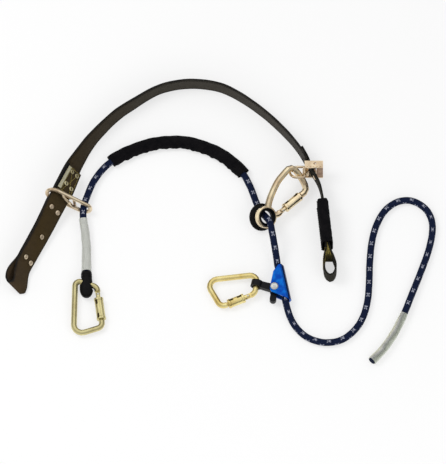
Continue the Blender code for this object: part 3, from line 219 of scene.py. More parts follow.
def make_world():
    """Even white light, but with dark and bright bands where metal mirrors it, as round a light tent."""
    world = bpy.data.worlds.new("studio")
    world.use_nodes = True
    tree = world.node_tree
    right, ahead, upward = coordinates(tree, "Generated")
    rise = ramp(tree, upward, ((0.0, (0.14,) * 3), (0.30, (0.30,) * 3), (0.52, (0.70,) * 3),
                                (0.80, (1.15,) * 3), (0.93, (0.66,) * 3), (1.0, (1.00,) * 3)))
    glossy = put(tree, "ShaderNodeLightPath").outputs["Is Glossy Ray"]
    sideways = maths(tree, 'MULTIPLY_ADD', right, -0.18, 1.0)
    leaning = maths(tree, 'MULTIPLY_ADD', ahead, 0.40, sideways)
    shaded = put(tree, "ShaderNodeVectorMath", {0: rise, 1: leaning}, operation='MULTIPLY').outputs[0]
    colour = blend_colours(tree, glossy, (EVEN_LIGHT,) * 3, shaded)
    tree.links.new(colour, tree.nodes["Background"].inputs["Color"])
    return world


def make_studio():
    scene = bpy.context.scene
    scene.view_settings.view_transform = 'Standard'
    scene.world = make_world()
    area_light("key_light", (-1.3, 0.4, 2.2), 1.2, 26.0)
    area_light("fill_light", (1.6, -1.4, 1.8), 1.6, 13.0)
    area_light("front_light", (0.1, -2.2, 0.9), 1.2, 9.0)
    mesh = bpy.data.meshes.new("floor")
    corners = [(x * FLOOR_REACH, y * FLOOR_REACH, 0) for x, y in ((-1, -1), (1, -1), (1, 1), (-1, 1))]
    mesh.from_pydata(corners, [], [(0, 1, 2, 3)])
    floor = bpy.data.objects.new("floor", mesh)
    floor.location = (0.0, 0.0, -FLOOR_DROP)
    scene.collection.objects.link(floor)
    floor.data.materials.append(floor_material())


# Node materials

# The end sleeve's tones round its turn, from its upper left over its top to its lower right: a pale painted
# highlight on the upper left, then grey, and a dark painted shade just past the top
END_PAINTED_LIGHT_BANDS = ((0.0, (0.88, 0.88, 0.66)), (0.12, (0.86, 0.85, 0.70)), (0.22, (0.50, 0.50, 0.49)),
             (0.30, (0.30, 0.32, 0.28)), (0.38, (0.50, 0.53, 0.45)), (0.50, (0.80, 0.83, 0.72)))


def feed(tree, socket, value):
    """Sets an input to a value, or links it where the value is a socket; a colour gets its alpha."""
    if isinstance(value, bpy.types.NodeSocket):
        tree.links.new(value, socket)
    elif socket.type == 'RGBA':
        socket.default_value = (*value, 1.0)
    else:
        socket.default_value = value


def put(tree, kind, inputs=None, **settings):
    """A node with its settings, and its inputs given as values or as sockets to link."""
    node = tree.nodes.new(kind)
    for key, value in settings.items():
        setattr(node, key, value)
    for key, value in (inputs or {}).items():
        feed(tree, node.inputs[key], value)
    return node


def maths(tree, operation, first, second=0.0, third=None):
    inputs = {0: first, 1: second}
    if third is not None:
        inputs[2] = third
    return put(tree, "ShaderNodeMath", inputs, operation=operation).outputs[0]


def times(tree, first, second):
    return maths(tree, 'MULTIPLY', first, second)


def ripples(tree, value, period):
    return maths(tree, 'SINE', times(tree, value, 2 * math.pi / period))


def blend_colours(tree, factor, first, second, mode='MIX'):
    inputs = {0: factor, 6: first, 7: second}
    return put(tree, "ShaderNodeMix", inputs, data_type='RGBA', blend_type=mode).outputs[2]


def ramp(tree, factor, stops):
    node = put(tree, "ShaderNodeValToRGB", {0: factor})
    bar = node.color_ramp
    while len(bar.elements) < len(stops):
        bar.elements.new(0.5)
    for element, (position, colour) in zip(bar.elements, stops):
        element.position = position
        element.color = (*colour, 1.0)
    return node.outputs[0]


def add_relief(tree, shader, strength, distance, height):
    bump = put(tree, "ShaderNodeBump", {"Strength": strength, "Distance": distance, "Height": height})
    tree.links.new(bump.outputs[0], shader.inputs["Normal"])


def show_mixed(tree, factor, first, second):
    """Mixes two shaders into what the material shows."""
    mix = put(tree, "ShaderNodeMixShader", {0: factor, 1: first, 2: second})
    tree.links.new(mix.outputs[0], tree.nodes["Material Output"].inputs["Surface"])


def surface(name, colour, roughness, metallic=0.0, height=None, strength=0.3, distance=0.0005, tune=None):
    """A Principled material whose colour, roughness and height come from values or sockets."""
    material = bpy.data.materials.new(name)
    material.use_nodes = True
    tree = material.node_tree
    shader = tree.nodes["Principled BSDF"]
    for key, value in (("Base Color", colour), ("Roughness", roughness), ("Metallic", metallic)):
        feed(tree, shader.inputs[key], value(tree) if callable(value) else value)
    if height is not None:
        add_relief(tree, shader, strength, distance, height(tree))
    for key, value in (tune or {}).items():
        shader.inputs[key].default_value = value
    return material


def position(tree):
    return put(tree, "ShaderNodeTexCoord").outputs["Object"]


def coordinates(tree, kind):
    """The X, Y and Z of one kind of surface coordinates."""
    return put(tree, "ShaderNodeSeparateXYZ", {0: put(tree, "ShaderNodeTexCoord").outputs[kind]}).outputs


def flat_map(tree):
    """The piece's own map: across it in metres, or around it in turns, and along it in metres."""
    return coordinates(tree, "UV")[:2]


def noise(tree, scale, detail=3.0, roughness=0.55, vector=None, distortion=0.0):
    inputs = {"Vector": vector or position(tree), "Scale": scale, "Detail": detail, "Roughness": roughness,
              "Distortion": distortion}
    return put(tree, "ShaderNodeTexNoise", inputs).outputs["Fac"]


def make_tone_group():
    """Shared group: darkens and lightens a colour in patches, and dulls the roughness the same way."""
    group = bpy.data.node_groups.new("patchy_tone", 'ShaderNodeTree')
    for way, names in (('INPUT', ("Colour", "Roughness", "Scale", "Amount")),
                       ('OUTPUT', ("Colour", "Roughness"))):
        for name in names:
            kind = 'NodeSocketColor' if name == "Colour" else 'NodeSocketFloat'
            group.interface.new_socket(name, in_out=way, socket_type=kind)
    source = group.nodes.new("NodeGroupInput")
    sink = group.nodes.new("NodeGroupOutput")
    patches = put(group, "ShaderNodeTexNoise", {"Vector": position(group), "Scale": source.outputs["Scale"],
                                                "Detail": 4.0, "Roughness": 0.6}).outputs["Fac"]
    swing = times(group, maths(group, 'SUBTRACT', patches, 0.5), source.outputs["Amount"])
    factor = maths(group, 'ADD', swing, 1.0)
    grey = put(group, "ShaderNodeCombineColor", {0: factor, 1: factor, 2: factor}).outputs[0]
    toned = blend_colours(group, 1.0, source.outputs["Colour"], grey, 'MULTIPLY')
    rough = maths(group, 'ADD', source.outputs["Roughness"], times(group, swing, 0.5))
    group.links.new(toned, sink.inputs["Colour"])
    group.links.new(rough, sink.inputs["Roughness"])
    return group


TONE = make_tone_group()


def toned(tree, colour, roughness, scale, amount):
    """The shared group's colour and roughness."""
    node = put(tree, "ShaderNodeGroup", node_tree=TONE)
    for key, value in (("Colour", colour), ("Roughness", roughness), ("Scale", scale), ("Amount", amount)):
        feed(tree, node.inputs[key], value)
    return node.outputs


def floor_material():
    """White paper whose shadows stay light: most of what is seen of it is plain white."""
    material = surface("floor_paint", (0.90, 0.90, 0.90), 0.7, tune={"Specular IOR Level": 0.0})
    tree = material.node_tree
    shader = tree.nodes["Principled BSDF"]
    white = put(tree, "ShaderNodeEmission", {"Color": (1.0, 1.0, 1.0), "Strength": 1.0}).outputs[0]
    ways = put(tree, "ShaderNodeLightPath").outputs
    mirrored = maths(tree, 'ADD', ways["Is Glossy Ray"], ways["Is Transmission Ray"])
    looked_at = maths(tree, 'ADD', ways["Is Camera Ray"], mirrored)
    seen = times(tree, maths(tree, 'MINIMUM', looked_at, 1.0), FLOOR_WHITENESS)
    show_mixed(tree, seen, shader.outputs[0], white)
    return material


def plated(name, colour, tint, roughness, amount):
    """Zinc or bronze plate: a warm metal with soft clouds of a second tint and fine scratches."""
    def base(tree):
        clouds = ramp(tree, noise(tree, 34.0, 2.0, 0.5, distortion=0.8), ((0.35, colour), (0.68, tint)))
        return toned(tree, clouds, roughness, 60.0, amount)[0]

    def rough(tree):
        return toned(tree, (1, 1, 1), roughness, 80.0, amount)[1]
    return surface(name, base, rough, 1.0, lambda t: noise(t, 420.0, 1.0), 0.03, 0.0002)


def shell_blue(tree):
    """Blue anodising in soft clouds whose lighter patches are partly a painted highlight, with a painted
    shade of deep navy on the faces turned towards +X, where the shell folds over the rope.
    """
    # The lighter clouds are uneven anodising and partly a painted highlight
    clouds = ramp(tree, noise(tree, 90.0, 2.0), ((0.38, (0.0, 0.060, 0.42)), (0.64, (0.002, 0.155, 0.62))))
    # Painted shade: faces turned towards +X blend into deep navy
    painted_shade_side = maths(tree, 'MULTIPLY_ADD', coordinates(tree, "Normal")[0], 3.0, -0.9)
    return blend_colours(tree, painted_shade_side, toned(tree, clouds, 0.25, 40.0, 0.15)[0], (0.0, 0.012, 0.085))


def strap_material(name, colours, edge_colour, width, roughness, rib=0.0013):
    """Coated webbing: ribs across, fine yarns along and dark edges; its colour changes from left to right."""
    def ribs(tree):
        across, along = flat_map(tree)
        warp = ripples(tree, across, rib * 1.3)
        both = maths(tree, 'MULTIPLY_ADD', ripples(tree, along, rib), 0.5, times(tree, warp, 0.32))
        return maths(tree, 'ADD', both, noise(tree, 900.0, 3.0))

    def base(tree):
        middle = maths(tree, 'ABSOLUTE', maths(tree, 'SUBTRACT', flat_map(tree)[0], width / 2))
        near_edge = maths(tree, 'POWER', maths(tree, 'DIVIDE', middle, width / 2), 9.0)
        smudges = times(tree, noise(tree, 55.0, 3.0, 0.6), 2.0)
        dark = maths(tree, 'MINIMUM', times(tree, near_edge, smudges), 1.0)
        left = CAD_BOX[0][0]
        span = {0: coordinates(tree, "Object")[0], 1: left, 2: left + STRAP_REACH}
        from_left = put(tree, "ShaderNodeMapRange", span).outputs[0]
        mixed = blend_colours(tree, dark, ramp(tree, from_left, colours), edge_colour)
        return toned(tree, mixed, roughness, 70.0, 0.5)[0]
    return surface(name, base, roughness, 0.0, ribs, 0.5, 0.0004, MATT)


def rope_material():
    """Braided cover: two families of strands that cross, navy with white marker strands."""
    strands = 8.0
    pitch = 0.0105
    marker_pitch = 0.026
    marker_width = 0.07
    marker_reach = 0.29

    def phase(tree, count, turn):
        around, along = flat_map(tree)
        return maths(tree, 'ADD', times(tree, around, count), maths(tree, 'DIVIDE', along, turn))

    def weave(tree):
        one, two = (ripples(tree, phase(tree, strands, turn), 1.0) for turn in (pitch, -pitch))
        return times(tree, one, two)

    def height(tree):
        return maths(tree, 'ADD', times(tree, weave(tree), 0.6), times(tree, noise(tree, 1100.0, 3.0), 0.4))

    def away_from(tree, turn):
        return maths(tree, 'PINGPONG', phase(tree, 2.0, turn), 0.5)

    def arm(tree, first, second):
        narrow = maths(tree, 'LESS_THAN', first, marker_width)
        return times(tree, narrow, maths(tree, 'LESS_THAN', second, marker_reach))

    def base(tree):
        dots = maths(tree, 'GREATER_THAN', weave(tree), -0.15)
        left = away_from(tree, marker_pitch)
        right = away_from(tree, -marker_pitch)
        cross = maths(tree, 'MAXIMUM', arm(tree, left, right), arm(tree, right, left))
        white = times(tree, cross, dots)
        navy = ramp(tree, noise(tree, 700.0, 4.0), (
            (0.25, (0.003, 0.005, 0.015)), (0.55, (0.006, 0.011, 0.036)), (0.8, (0.013, 0.022, 0.062))))
        return blend_colours(tree, times(tree, white, 0.7), navy, (0.44, 0.46, 0.55))
    return surface("rope_braid", base, 0.86, 0.0, height, 0.9, 0.0006, MATT)


def fabric_material(name, colour, light, scale, roughness, strength):
    """Plain woven cloth, mottled from one colour to a lighter one."""
    yarn = 0.0011 * scale

    def weave(tree):
        across, along = flat_map(tree)
        crossed = times(tree, ripples(tree, along, yarn), ripples(tree, across, yarn))
        return maths(tree, 'ADD', crossed, noise(tree, 500.0, 4.0))

    def base(tree):
        return ramp(tree, noise(tree, 90.0, 5.0, 0.65), ((0.35, colour), (0.75, light)))
    return surface(name, base, roughness, 0.0, weave, strength, 0.0004, MATT)


def clear_material(name, tint, cover, bands=None):
    """Clear shrink sleeve: partly see-through, with a glossy skin, cloudy streaks and creases."""
    material = surface(name, tint, 0.18)
    tree = material.node_tree
    shader = tree.nodes["Principled BSDF"]
    across, along = flat_map(tree)
    stretched = put(tree, "ShaderNodeCombineXYZ", {0: times(tree, across, 900.0),
                                                   1: times(tree, along, 60.0)}).outputs[0]
    streaks = noise(tree, 1.0, 4.0, 0.6, stretched)
    # Bands round the turn paint a highlight and a shade into the sleeve's colour
    if bands:
        smeared = maths(tree, 'MULTIPLY_ADD', noise(tree, 45.0, 3.0), 0.22, maths(tree, 'ADD', across, -0.11))
        tree.links.new(ramp(tree, smeared, bands), shader.inputs["Base Color"])
    add_relief(tree, shader, 0.35, 0.0006, streaks)
    factor = ramp(tree, streaks, ((0.40, (cover * 0.55,) * 3), (0.75, (min(1.0, cover * 1.9),) * 3)))
    see_through = put(tree, "ShaderNodeBsdfTransparent", {"Color": (0.96, 0.97, 0.96)}).outputs[0]
    show_mixed(tree, factor, see_through, shader.outputs[0])
    return material


def black_skin(name, colour, roughness, grain, strength, shine):
    """Coated metal or rubber: almost black, with a fine grain."""
    return surface(name, lambda t: toned(t, colour, roughness, 60.0, 0.5)[0], roughness, 0.0,
                   lambda t: noise(t, grain, 2.0), strength, 0.0003, {"Specular IOR Level": shine})


def make_materials():
    strap_colours = (
        (0.0, (0.050, 0.033, 0.019)), (0.10, (0.042, 0.027, 0.009)), (0.24, (0.036, 0.026, 0.013)),
        (0.45, (0.038, 0.033, 0.024)), (0.8, (0.050, 0.044, 0.036)), (1.0, (0.060, 0.056, 0.050)))
    tail_colours = ((0.0, (0.016, 0.016, 0.012)), (1.0, (0.022, 0.020, 0.014)))
    tail_edge = (0.010, 0.010, 0.008)
    made = {
        "webbing": strap_material("strap_webbing", strap_colours, (0.010, 0.009, 0.008), STRAP_WIDTH, 0.7),
        "tail_webbing": strap_material("tail_webbing", tail_colours, tail_edge, TAIL_WIDTH, 0.8, 0.0016),
        "blue": surface("blue_anodised", shell_blue, lambda t: toned(t, (1, 1, 1), 0.24, 80.0, 0.2)[1], 0.6,
                        lambda t: noise(t, 500.0, 1.0), 0.04, 0.0002, {"Specular IOR Level": 0.2}),
        # Painted shade: dark brown for the cut faces of the sleeves' windows
        "window_painted_shade": surface("window_painted_shade", (0.050, 0.036, 0.012), 0.6, tune=MATT),
        "black_coat": black_skin("black_coat", (0.004, 0.004, 0.005), 0.40, 600.0, 0.12, 0.16),
        "black_rubber": black_skin("black_rubber", (0.003, 0.003, 0.003), 0.42, 500.0, 0.15, 0.10),
        "rope": rope_material(),
        "clear": clear_material("clear_sleeve", (0.68, 0.69, 0.64), 0.70),
        "clear_end": clear_material("clear_end_sleeve", (0.6, 0.6, 0.55), 0.66, END_PAINTED_LIGHT_BANDS),
    }
    for name, colour, light, scale, roughness, strength in (
            ("neck_webbing", (0.034, 0.028, 0.006), (0.12, 0.10, 0.03), 1.6, 0.8, 0.5),
            ("black_binding", (0.004, 0.004, 0.004), (0.010, 0.009, 0.009), 1.0, 0.88, 0.6),
            ("tag_cloth", (0.36, 0.34, 0.24), (0.52, 0.50, 0.38), 0.7, 0.85, 0.4),
            ("yellow_thread", (0.28, 0.22, 0.05), (0.44, 0.36, 0.11), 0.5, 0.7, 0.5),
            ("black_nylon", (0.002, 0.002, 0.003), (0.008, 0.007, 0.008), 1.3, 0.88, 0.6),
            ("whipping_tape", (0.20, 0.19, 0.13), (0.36, 0.34, 0.25), 1.4, 0.7, 0.3)):
        made[name] = fabric_material(name, colour, light, scale, roughness, strength)
    for name, colour, tint, roughness, amount in (
            ("copper_rivet", (0.92, 0.78, 0.58), (0.66, 0.53, 0.38), 0.32, 0.30),
            ("brass_eyelet", (0.68, 0.62, 0.38), (0.48, 0.42, 0.24), 0.34, 0.30),
            ("ring_bronze", (0.90, 0.76, 0.54), (0.46, 0.32, 0.20), 0.30, 0.30),
            ("yellow_zinc", (0.74, 0.67, 0.35), (0.56, 0.48, 0.23), 0.26, 0.25),
            ("gold_zinc", (0.95, 0.83, 0.40), (0.74, 0.56, 0.19), 0.26, 0.25),
            ("champagne_zinc", (0.90, 0.77, 0.52), (0.70, 0.53, 0.34), 0.24, 0.25),
            ("aged_zinc", (0.86, 0.71, 0.50), (0.54, 0.38, 0.24), 0.28, 0.40),
            # A darker brown plate for the buckle's grip bar and keeper
            ("dark_brown_plate", (0.46, 0.30, 0.19), (0.24, 0.14, 0.08), 0.32, 0.40),
            ("spring_steel", (0.52, 0.52, 0.52), (0.36, 0.36, 0.36), 0.30, 0.20),
            ("silver_plate", (0.76, 0.76, 0.74), (0.60, 0.60, 0.58), 0.26, 0.20)):
        made[name] = plated(name, colour, tint, roughness, amount)
    return made


# Shapes

def finished(name, bm, material, smooth=True, sharp=None):
    """A mesh object of the lay-out, moved to the model's origin; sharp is the crease angle in degrees."""
    bmesh.ops.recalc_face_normals(bm, faces=bm.faces)
    mesh = bpy.data.meshes.new(name)
    bm.to_mesh(mesh)
    bm.free()
    mesh.transform(SHIFT)
    mesh.materials.append(MATERIALS[material])
    obj = bpy.data.objects.new(name, mesh)
    bpy.context.scene.collection.objects.link(obj)
    if smooth:
        mesh.polygons.foreach_set("use_smooth", [True] * len(mesh.polygons))
        if sharp:
            mesh.set_sharp_from_angle(angle=math.radians(sharp))
    return obj


def drawn(name, material, shape, *args, sharp=None):
    """A finished object made by one shape function, which is given a new mesh and the arguments."""
    bm = bmesh.new()
    shape(bm, *args)
    return finished(name, bm, material, sharp=sharp)


def full_turn(count):
    """Angles evenly round a circle."""
    return np.linspace(0.0, 2 * math.pi, count, endpoint=False)


def smooth_points(route, count):
    """Evenly spaced points on a smooth curve through the route's own points."""
    p = np.array(route, float)
    p = np.vstack([2 * p[0] - p[1], p, 2 * p[-1] - p[-2]])
    dense = []
    for a, b, c, d in zip(p, p[1:], p[2:], p[3:]):
        for u in np.linspace(0, 1, 16, endpoint=False):
            dense.append(0.5 * (2 * b + (c - a) * u + (2 * a - 5 * b + 4 * c - d) * u * u
                                + (3 * b - a - 3 * c + d) * u ** 3))
    dense.append(p[-2])
    dense = np.array(dense)
    along = distances(dense)
    wanted = np.linspace(0, along[-1], count)
    return np.column_stack([np.interp(wanted, along, dense[:, i]) for i in range(p.shape[1])])


def distances(points):
    return np.concatenate([[0], np.cumsum(np.linalg.norm(np.diff(points[:, :3], axis=0), axis=1))])


def tangents(points):
    return np.array([unit(t) for t in np.gradient(points[:, :3], axis=0)])


def lines_at(rows, wanted):
    """Rows of any width, read at distances along the line of their first three columns."""
    along = distances(rows)
    return np.column_stack([np.interp(wanted, along, rows[:, i]) for i in range(rows.shape[1])])


def skin(bm, rings, mapping, caps=(True, True)):
    """Closed rings joined by quads; mapping(i, k) is the map point of corner k of ring i."""
    layer = bm.loops.layers.uv.verify()
    rows = [[bm.verts.new(p) for p in ring] for ring in rings]
    count = len(rows[0])
    for i in range(len(rows) - 1):
        for k in range(count):
            j = (k + 1) % count
            face = bm.faces.new((rows[i][k], rows[i][j], rows[i + 1][j], rows[i + 1][k]))
            for loop, corner in zip(face.loops, ((i, k), (i, k + 1), (i + 1, k + 1), (i + 1, k))):
                loop[layer].uv = mapping(*corner)
    for wanted, i in zip(caps, (0, len(rows) - 1)):
        if wanted:
            for k, loop in enumerate(bm.faces.new(rows[i]).loops):
                loop[layer].uv = mapping(i, k)


def side_and_up(line):
    """Tangents of a line, with side and up directions that are carried along it without twist."""
    axes = tangents(line)
    sides = [unit(np.cross(axes[0], (0.0, 0.0, 1.0)))]
    for axis in axes[1:]:
        sides.append(unit(sides[-1] - axis * np.dot(sides[-1], axis)))
    return axes, np.array(sides), np.array([np.cross(s, a) for s, a in zip(sides, axes)])


def tube(bm, line, radius, sides, caps=(True, True), start=0.0):
    """A tube round a line: radius is a value or radius(along, turn); the map is (turn 0-1, metres)."""
    _, side, up = side_and_up(line)
    along = distances(line) + start
    turns = full_turn(sides)
    rings = []
    for point, s, u, here in zip(line, side, up, along):
        ring = []
        for a in turns:
            reach = radius(here, a) if callable(radius) else radius
            wide, high = reach if isinstance(reach, tuple) else (reach, reach)
            ring.append(point + s * wide * math.cos(a) + u * high * math.sin(a))
        rings.append(ring)
    skin(bm, rings, lambda i, k: (k / sides, along[i]), caps)


def sleeve_walls(bm, line, outside, wall, sides, start):
    """The outer and the inner skin of an open sleeve, whose outside is a radius or a (wide, high) pair."""
    def inside(along, turn):
        reach = outside(along, turn)
        return tuple(v - wall for v in reach) if isinstance(reach, tuple) else reach - wall
    tube(bm, line, outside, sides, (False, False), start)
    tube(bm, line, inside, sides, (False, False), start)


# The strap's own frames

def ribbon_frames(stations):
    """Floor edge, width direction and front normal at each station of a strap."""
    lean = np.radians(stations[:, 3])
    azimuth = math.radians(LEAN_AZIMUTH)
    across = np.column_stack([math.cos(azimuth) * np.sin(lean), math.sin(azimuth) * np.sin(lean),
                              np.cos(lean)])
    front = np.array([unit(np.cross(t, w)) for t, w in zip(tangents(stations), across)])
    return np.hstack([stations[:, :3], across, front])


def ring_distance(stations):
    """How far along a line of stations the friction ring sits."""
    return distances(stations)[np.argmin(np.linalg.norm(stations[:, :3] - RING_STATION[:3], axis=1))]


def strap_frames():
    """The outer strap from its returned end, round the loop, up the leg and along the arc."""
    front_route = LEG_ROUTE + (RING_STATION,) + ARC_ROUTE
    dense = smooth_points(front_route, 200)
    frames = ribbon_frames(dense)
    wanted = np.linspace(RETURN_START, ring_distance(dense) - RETURN_STOP, RETURN_COUNT)
    rows = lines_at(frames, wanted)
    leans = np.interp(wanted, distances(dense), dense[:, 3])
    returned = np.column_stack([rows[:, :3] - rows[:, 6:9] * (STRAP_THICKNESS + LAYER_GAP), leans])
    route = [tuple(row) for row in returned[::-1]] + list(LOOP_ROUTE) + list(front_route)
    stations = smooth_points(route, STRAP_STATIONS)
    return ribbon_frames(stations), ring_distance(stations)


def strap_section(width, thickness, rounding, low=0.0):
    """A strap's section as (height, depth) with rounded edges and a few points up each face."""
    half = thickness / 2
    r = min(rounding, half)
    up_face = [low + r + (width - 2 * r) * share for share in (0.2, 0.4, 0.6, 0.8)]
    front = [(height, half) for height in up_face]
    back = [(height, -half) for height in up_face[::-1]]
    # Each corner's centre and first angle, and the points along the face that comes after it
    corners = ((low + r, -half + r, 270.0, []), (low + r, half - r, 180.0, front),
               (low + width - r, half - r, 90.0, []), (low + width - r, -half + r, 0.0, back))
    outline = []
    for height, depth, start, face in corners:
        for a in np.radians(np.linspace(start, start - 90.0, 4)):
            outline.append((height + r * math.cos(a), depth + r * math.sin(a)))
        outline += face
    return outline


def ribbon(bm, frames, section, offset=0.0, wave=None, start=0.0):
    """A section carried along strap frames; the map is (height, metres along)."""
    along = distances(frames) + start
    rings = []
    for row, here in zip(frames, along):
        base, across, front = row[:3], row[3:6], row[6:9]
        ring = []
        for height, depth in section:
            extra = wave(here, height, depth) if wave else 0.0
            ring.append(base + across * height + front * (offset + depth + extra))
        rings.append(ring)
    skin(bm, rings, lambda i, k: (section[k % len(section)][0], along[i]))


def outward(depth):
    """1 on a strap's front face, and -1 on its back."""
    return 1 if depth > 0 else -1


def rectangle(start, stop, low, high):
    """A closed path of (along, height) corners."""
    return [(start, low), (start, high), (stop, high), (stop, low), (start, low)]


def strap_point(frames, along, height, depth):
    row = lines_at(frames, [along])[0]
    return row[:3] + row[3:6] * height + row[6:9] * depth


def stitch_line(bm, frames, path, surface_depth, length=0.0030, pause=0.0012, radius=0.00042):
    """Stitches along a path of (along, height) points on a strap's face, which dip at their ends."""
    path = np.array(path, float)
    run = distances(path)
    step = length + pause
    count = max(1, int(run[-1] / step))
    for n in range(count):
        places = np.linspace(n * step, n * step + length, 5)
        points = []
        for k, s in enumerate(places):
            along, height = (np.interp(s, run, path[:, i]) for i in (0, 1))
            bow = radius * (1.1 * math.sin(math.pi * k / 4) - 0.45)
            lift = surface_depth + bow * outward(surface_depth)
            points.append(strap_point(frames, along, height, lift))
        tube(bm, np.array(points), radius, 6, start=n * step)


# The cord and what is on it

def make_rope():
    """One smooth line, its slightly rippled cover, and the sleeves and the whipping on it."""
    line = smooth_points(ROPE_ROUTE, 260)
    length = distances(line)[-1]
    lay = 0.021

    def outside(along, turn):
        return ROPE_DIAMETER / 2 * (1.0 + 0.012 * math.sin(2 * math.pi * along / lay + 3 * turn)) * 0.995
    rope = drawn("rope_cover", "rope", tube, line, outside, 24, sharp=60)
    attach(rope, "strap_and_rope")
    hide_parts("rope")
    on_rope = [make_clear_sleeve(line), make_wear_sleeve(line), *make_rope_end(line, length)]


def along_rope(line, start, stop, count):
    return lines_at(line, np.linspace(start, stop, count))


def make_clear_sleeve(line):
    """Clear shrink sleeve over the splice, wrinkled, thicker towards the eye."""
    start, stop = CLEAR_SLEEVE_SPAN
    eye_radius = 0.0093
    taper = 0.0017
    wall = 0.0009

    def outside(along, turn):
        share = (along - start) / (stop - start)
        fine = math.sin(along * 900 + 2.0 * math.sin(turn * 2)) * 0.00010
        coarse = math.sin(turn * 5 + along * 160) * 0.00016
        lip = 0.0004 * math.exp(-((share - 1.0) / 0.03) ** 2)
        return eye_radius - taper * share + fine + coarse + lip
    part = along_rope(line, start, stop, 60)
    sleeve = drawn("rope_eye_clear_cover", "clear", sleeve_walls, part, outside, wall, 32, start)
    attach(sleeve, "strap_and_rope")
    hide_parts("rope_eye_clear_sleeve")
    return sleeve


def make_wear_sleeve(line):
    """Black nylon wear sleeve: a loose flat tube with a puckered seam along its lower edge."""
    start, stop = WEAR_SLEEVE_SPAN
    part = along_rope(line, start, stop, 120)
    half_width = WEAR_SLEEVE_WIDTH / 2 - 0.0009
    half_height = WEAR_SLEEVE_HEIGHT / 2 - 0.0005
    wall = 0.0016
    sides = 40

    def outside(along, turn):
        share = (along - start) / (stop - start)
        pucker = (0.5 * math.sin(along * 330) + 0.35 * math.sin(along * 610 + 1.3)
                  + 0.3 * math.sin(along * 143 + 0.4))
        edge = max(0.0, math.cos(turn)) ** 4
        far = max(0.0, -math.cos(turn)) ** 6
        crease = math.sin(turn * 3 + along * 95) * 0.00025 + math.sin(along * 260 + turn * 2) * 0.0002
        mouth = 1.0 - 0.10 * math.exp(-share / 0.012) - 0.10 * math.exp(-(1 - share) / 0.012)
        wide = half_width + crease + (edge * 0.0014 + far * 0.0002) * pucker
        return wide, (half_height + crease) * mouth
    bm = bmesh.new()
    sleeve_walls(bm, part, outside, wall, sides, start)
    axes, side, up = side_and_up(part)
    for end, along, way in ((0, start, -1), (-1, stop, 1)):
        rings = []
        for shrink in (0.0, wall / 4, wall * 3 / 4, wall):
            lip = part[end] + axes[end] * way * 0.0006 * math.sin(math.pi * shrink / wall)
            ring = []
            for a in full_turn(sides):
                wide, high = (reach - shrink for reach in outside(along, a))
                ring.append(lip + side[end] * wide * math.cos(a) + up[end] * high * math.sin(a))
            rings.append(ring)
        skin(bm, rings, lambda i, k: (k / sides, i * 0.0004), (False, False))
    sleeve = finished("wear_sleeve_cover", bm, "black_nylon")
    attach(sleeve, "strap_and_rope")
    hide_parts("rope_wear_sleeve")
    return sleeve


def make_rope_end(line, length):
    """The cut end: whipping tape round the rope, and a loose clear sleeve over both."""
    stop = length - 0.002
    start = length - END_SLEEVE_LENGTH
    end_radius = 0.0072
    wall = 0.0005
    tape_radius = 0.00655
    tape_pitch = 0.009

    def tape(along, turn):
        step = 0.00012 * ((along / tape_pitch + turn / (2 * math.pi)) % 1.0)
        return tape_radius + step + 0.00006 * math.sin(turn * 6 + along * 300)
    part = along_rope(line, length - 0.098, length - 0.008, 50)
    whipping = drawn("rope_end_whipping", "whipping_tape", tube, part, tape, 28, (False, False))
    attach(whipping, "strap_and_rope")

    def outside(along, turn):
        share = (along - start) / (stop - start)
        flap = 0.0004 * max(0.0, math.cos(turn - 0.2)) ** 3 * math.sin(math.pi * min(1.0, share * 1.4))
        wrinkle = 0.00018 * math.sin(turn * 4 + along * 210) + 0.00010 * math.sin(along * 700 + turn)
        return end_radius + 0.0010 * share + flap + wrinkle
    part = along_rope(line, start, stop, 60)
    sleeve = drawn("rope_end_clear_cover", "clear_end", sleeve_walls, part, outside, wall, 36, start)
    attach(sleeve, "strap_and_rope")
    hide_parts("rope_end_clear_sleeve")
    return [whipping, sleeve]


# Webbing

def make_strap():
    """The outer strap with its patch, seams and rivets; returns its frames, which the tail starts from."""
    frames, ring_at = strap_frames()
    fine = lines_at(frames, np.linspace(0.0, distances(frames)[-1], 330))

    def waver(along, height, depth):
        swell = 0.00012 * math.sin(along * 61 + height * 40) + 0.00008 * math.sin(along * 171)
        return swell * outward(depth)
    section = strap_section(STRAP_WIDTH, STRAP_THICKNESS - 0.0003, 0.0013)
    strap = drawn("outer_strap_webbing", "webbing", ribbon, fine, section, 0.0, waver, sharp=50)
    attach(strap, "strap_and_rope")
    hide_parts("outer_strap")
    make_patch(frames, ring_at)
    make_strap_seams(frames, ring_at)
    make_strap_rivets(frames, ring_at)
    return frames


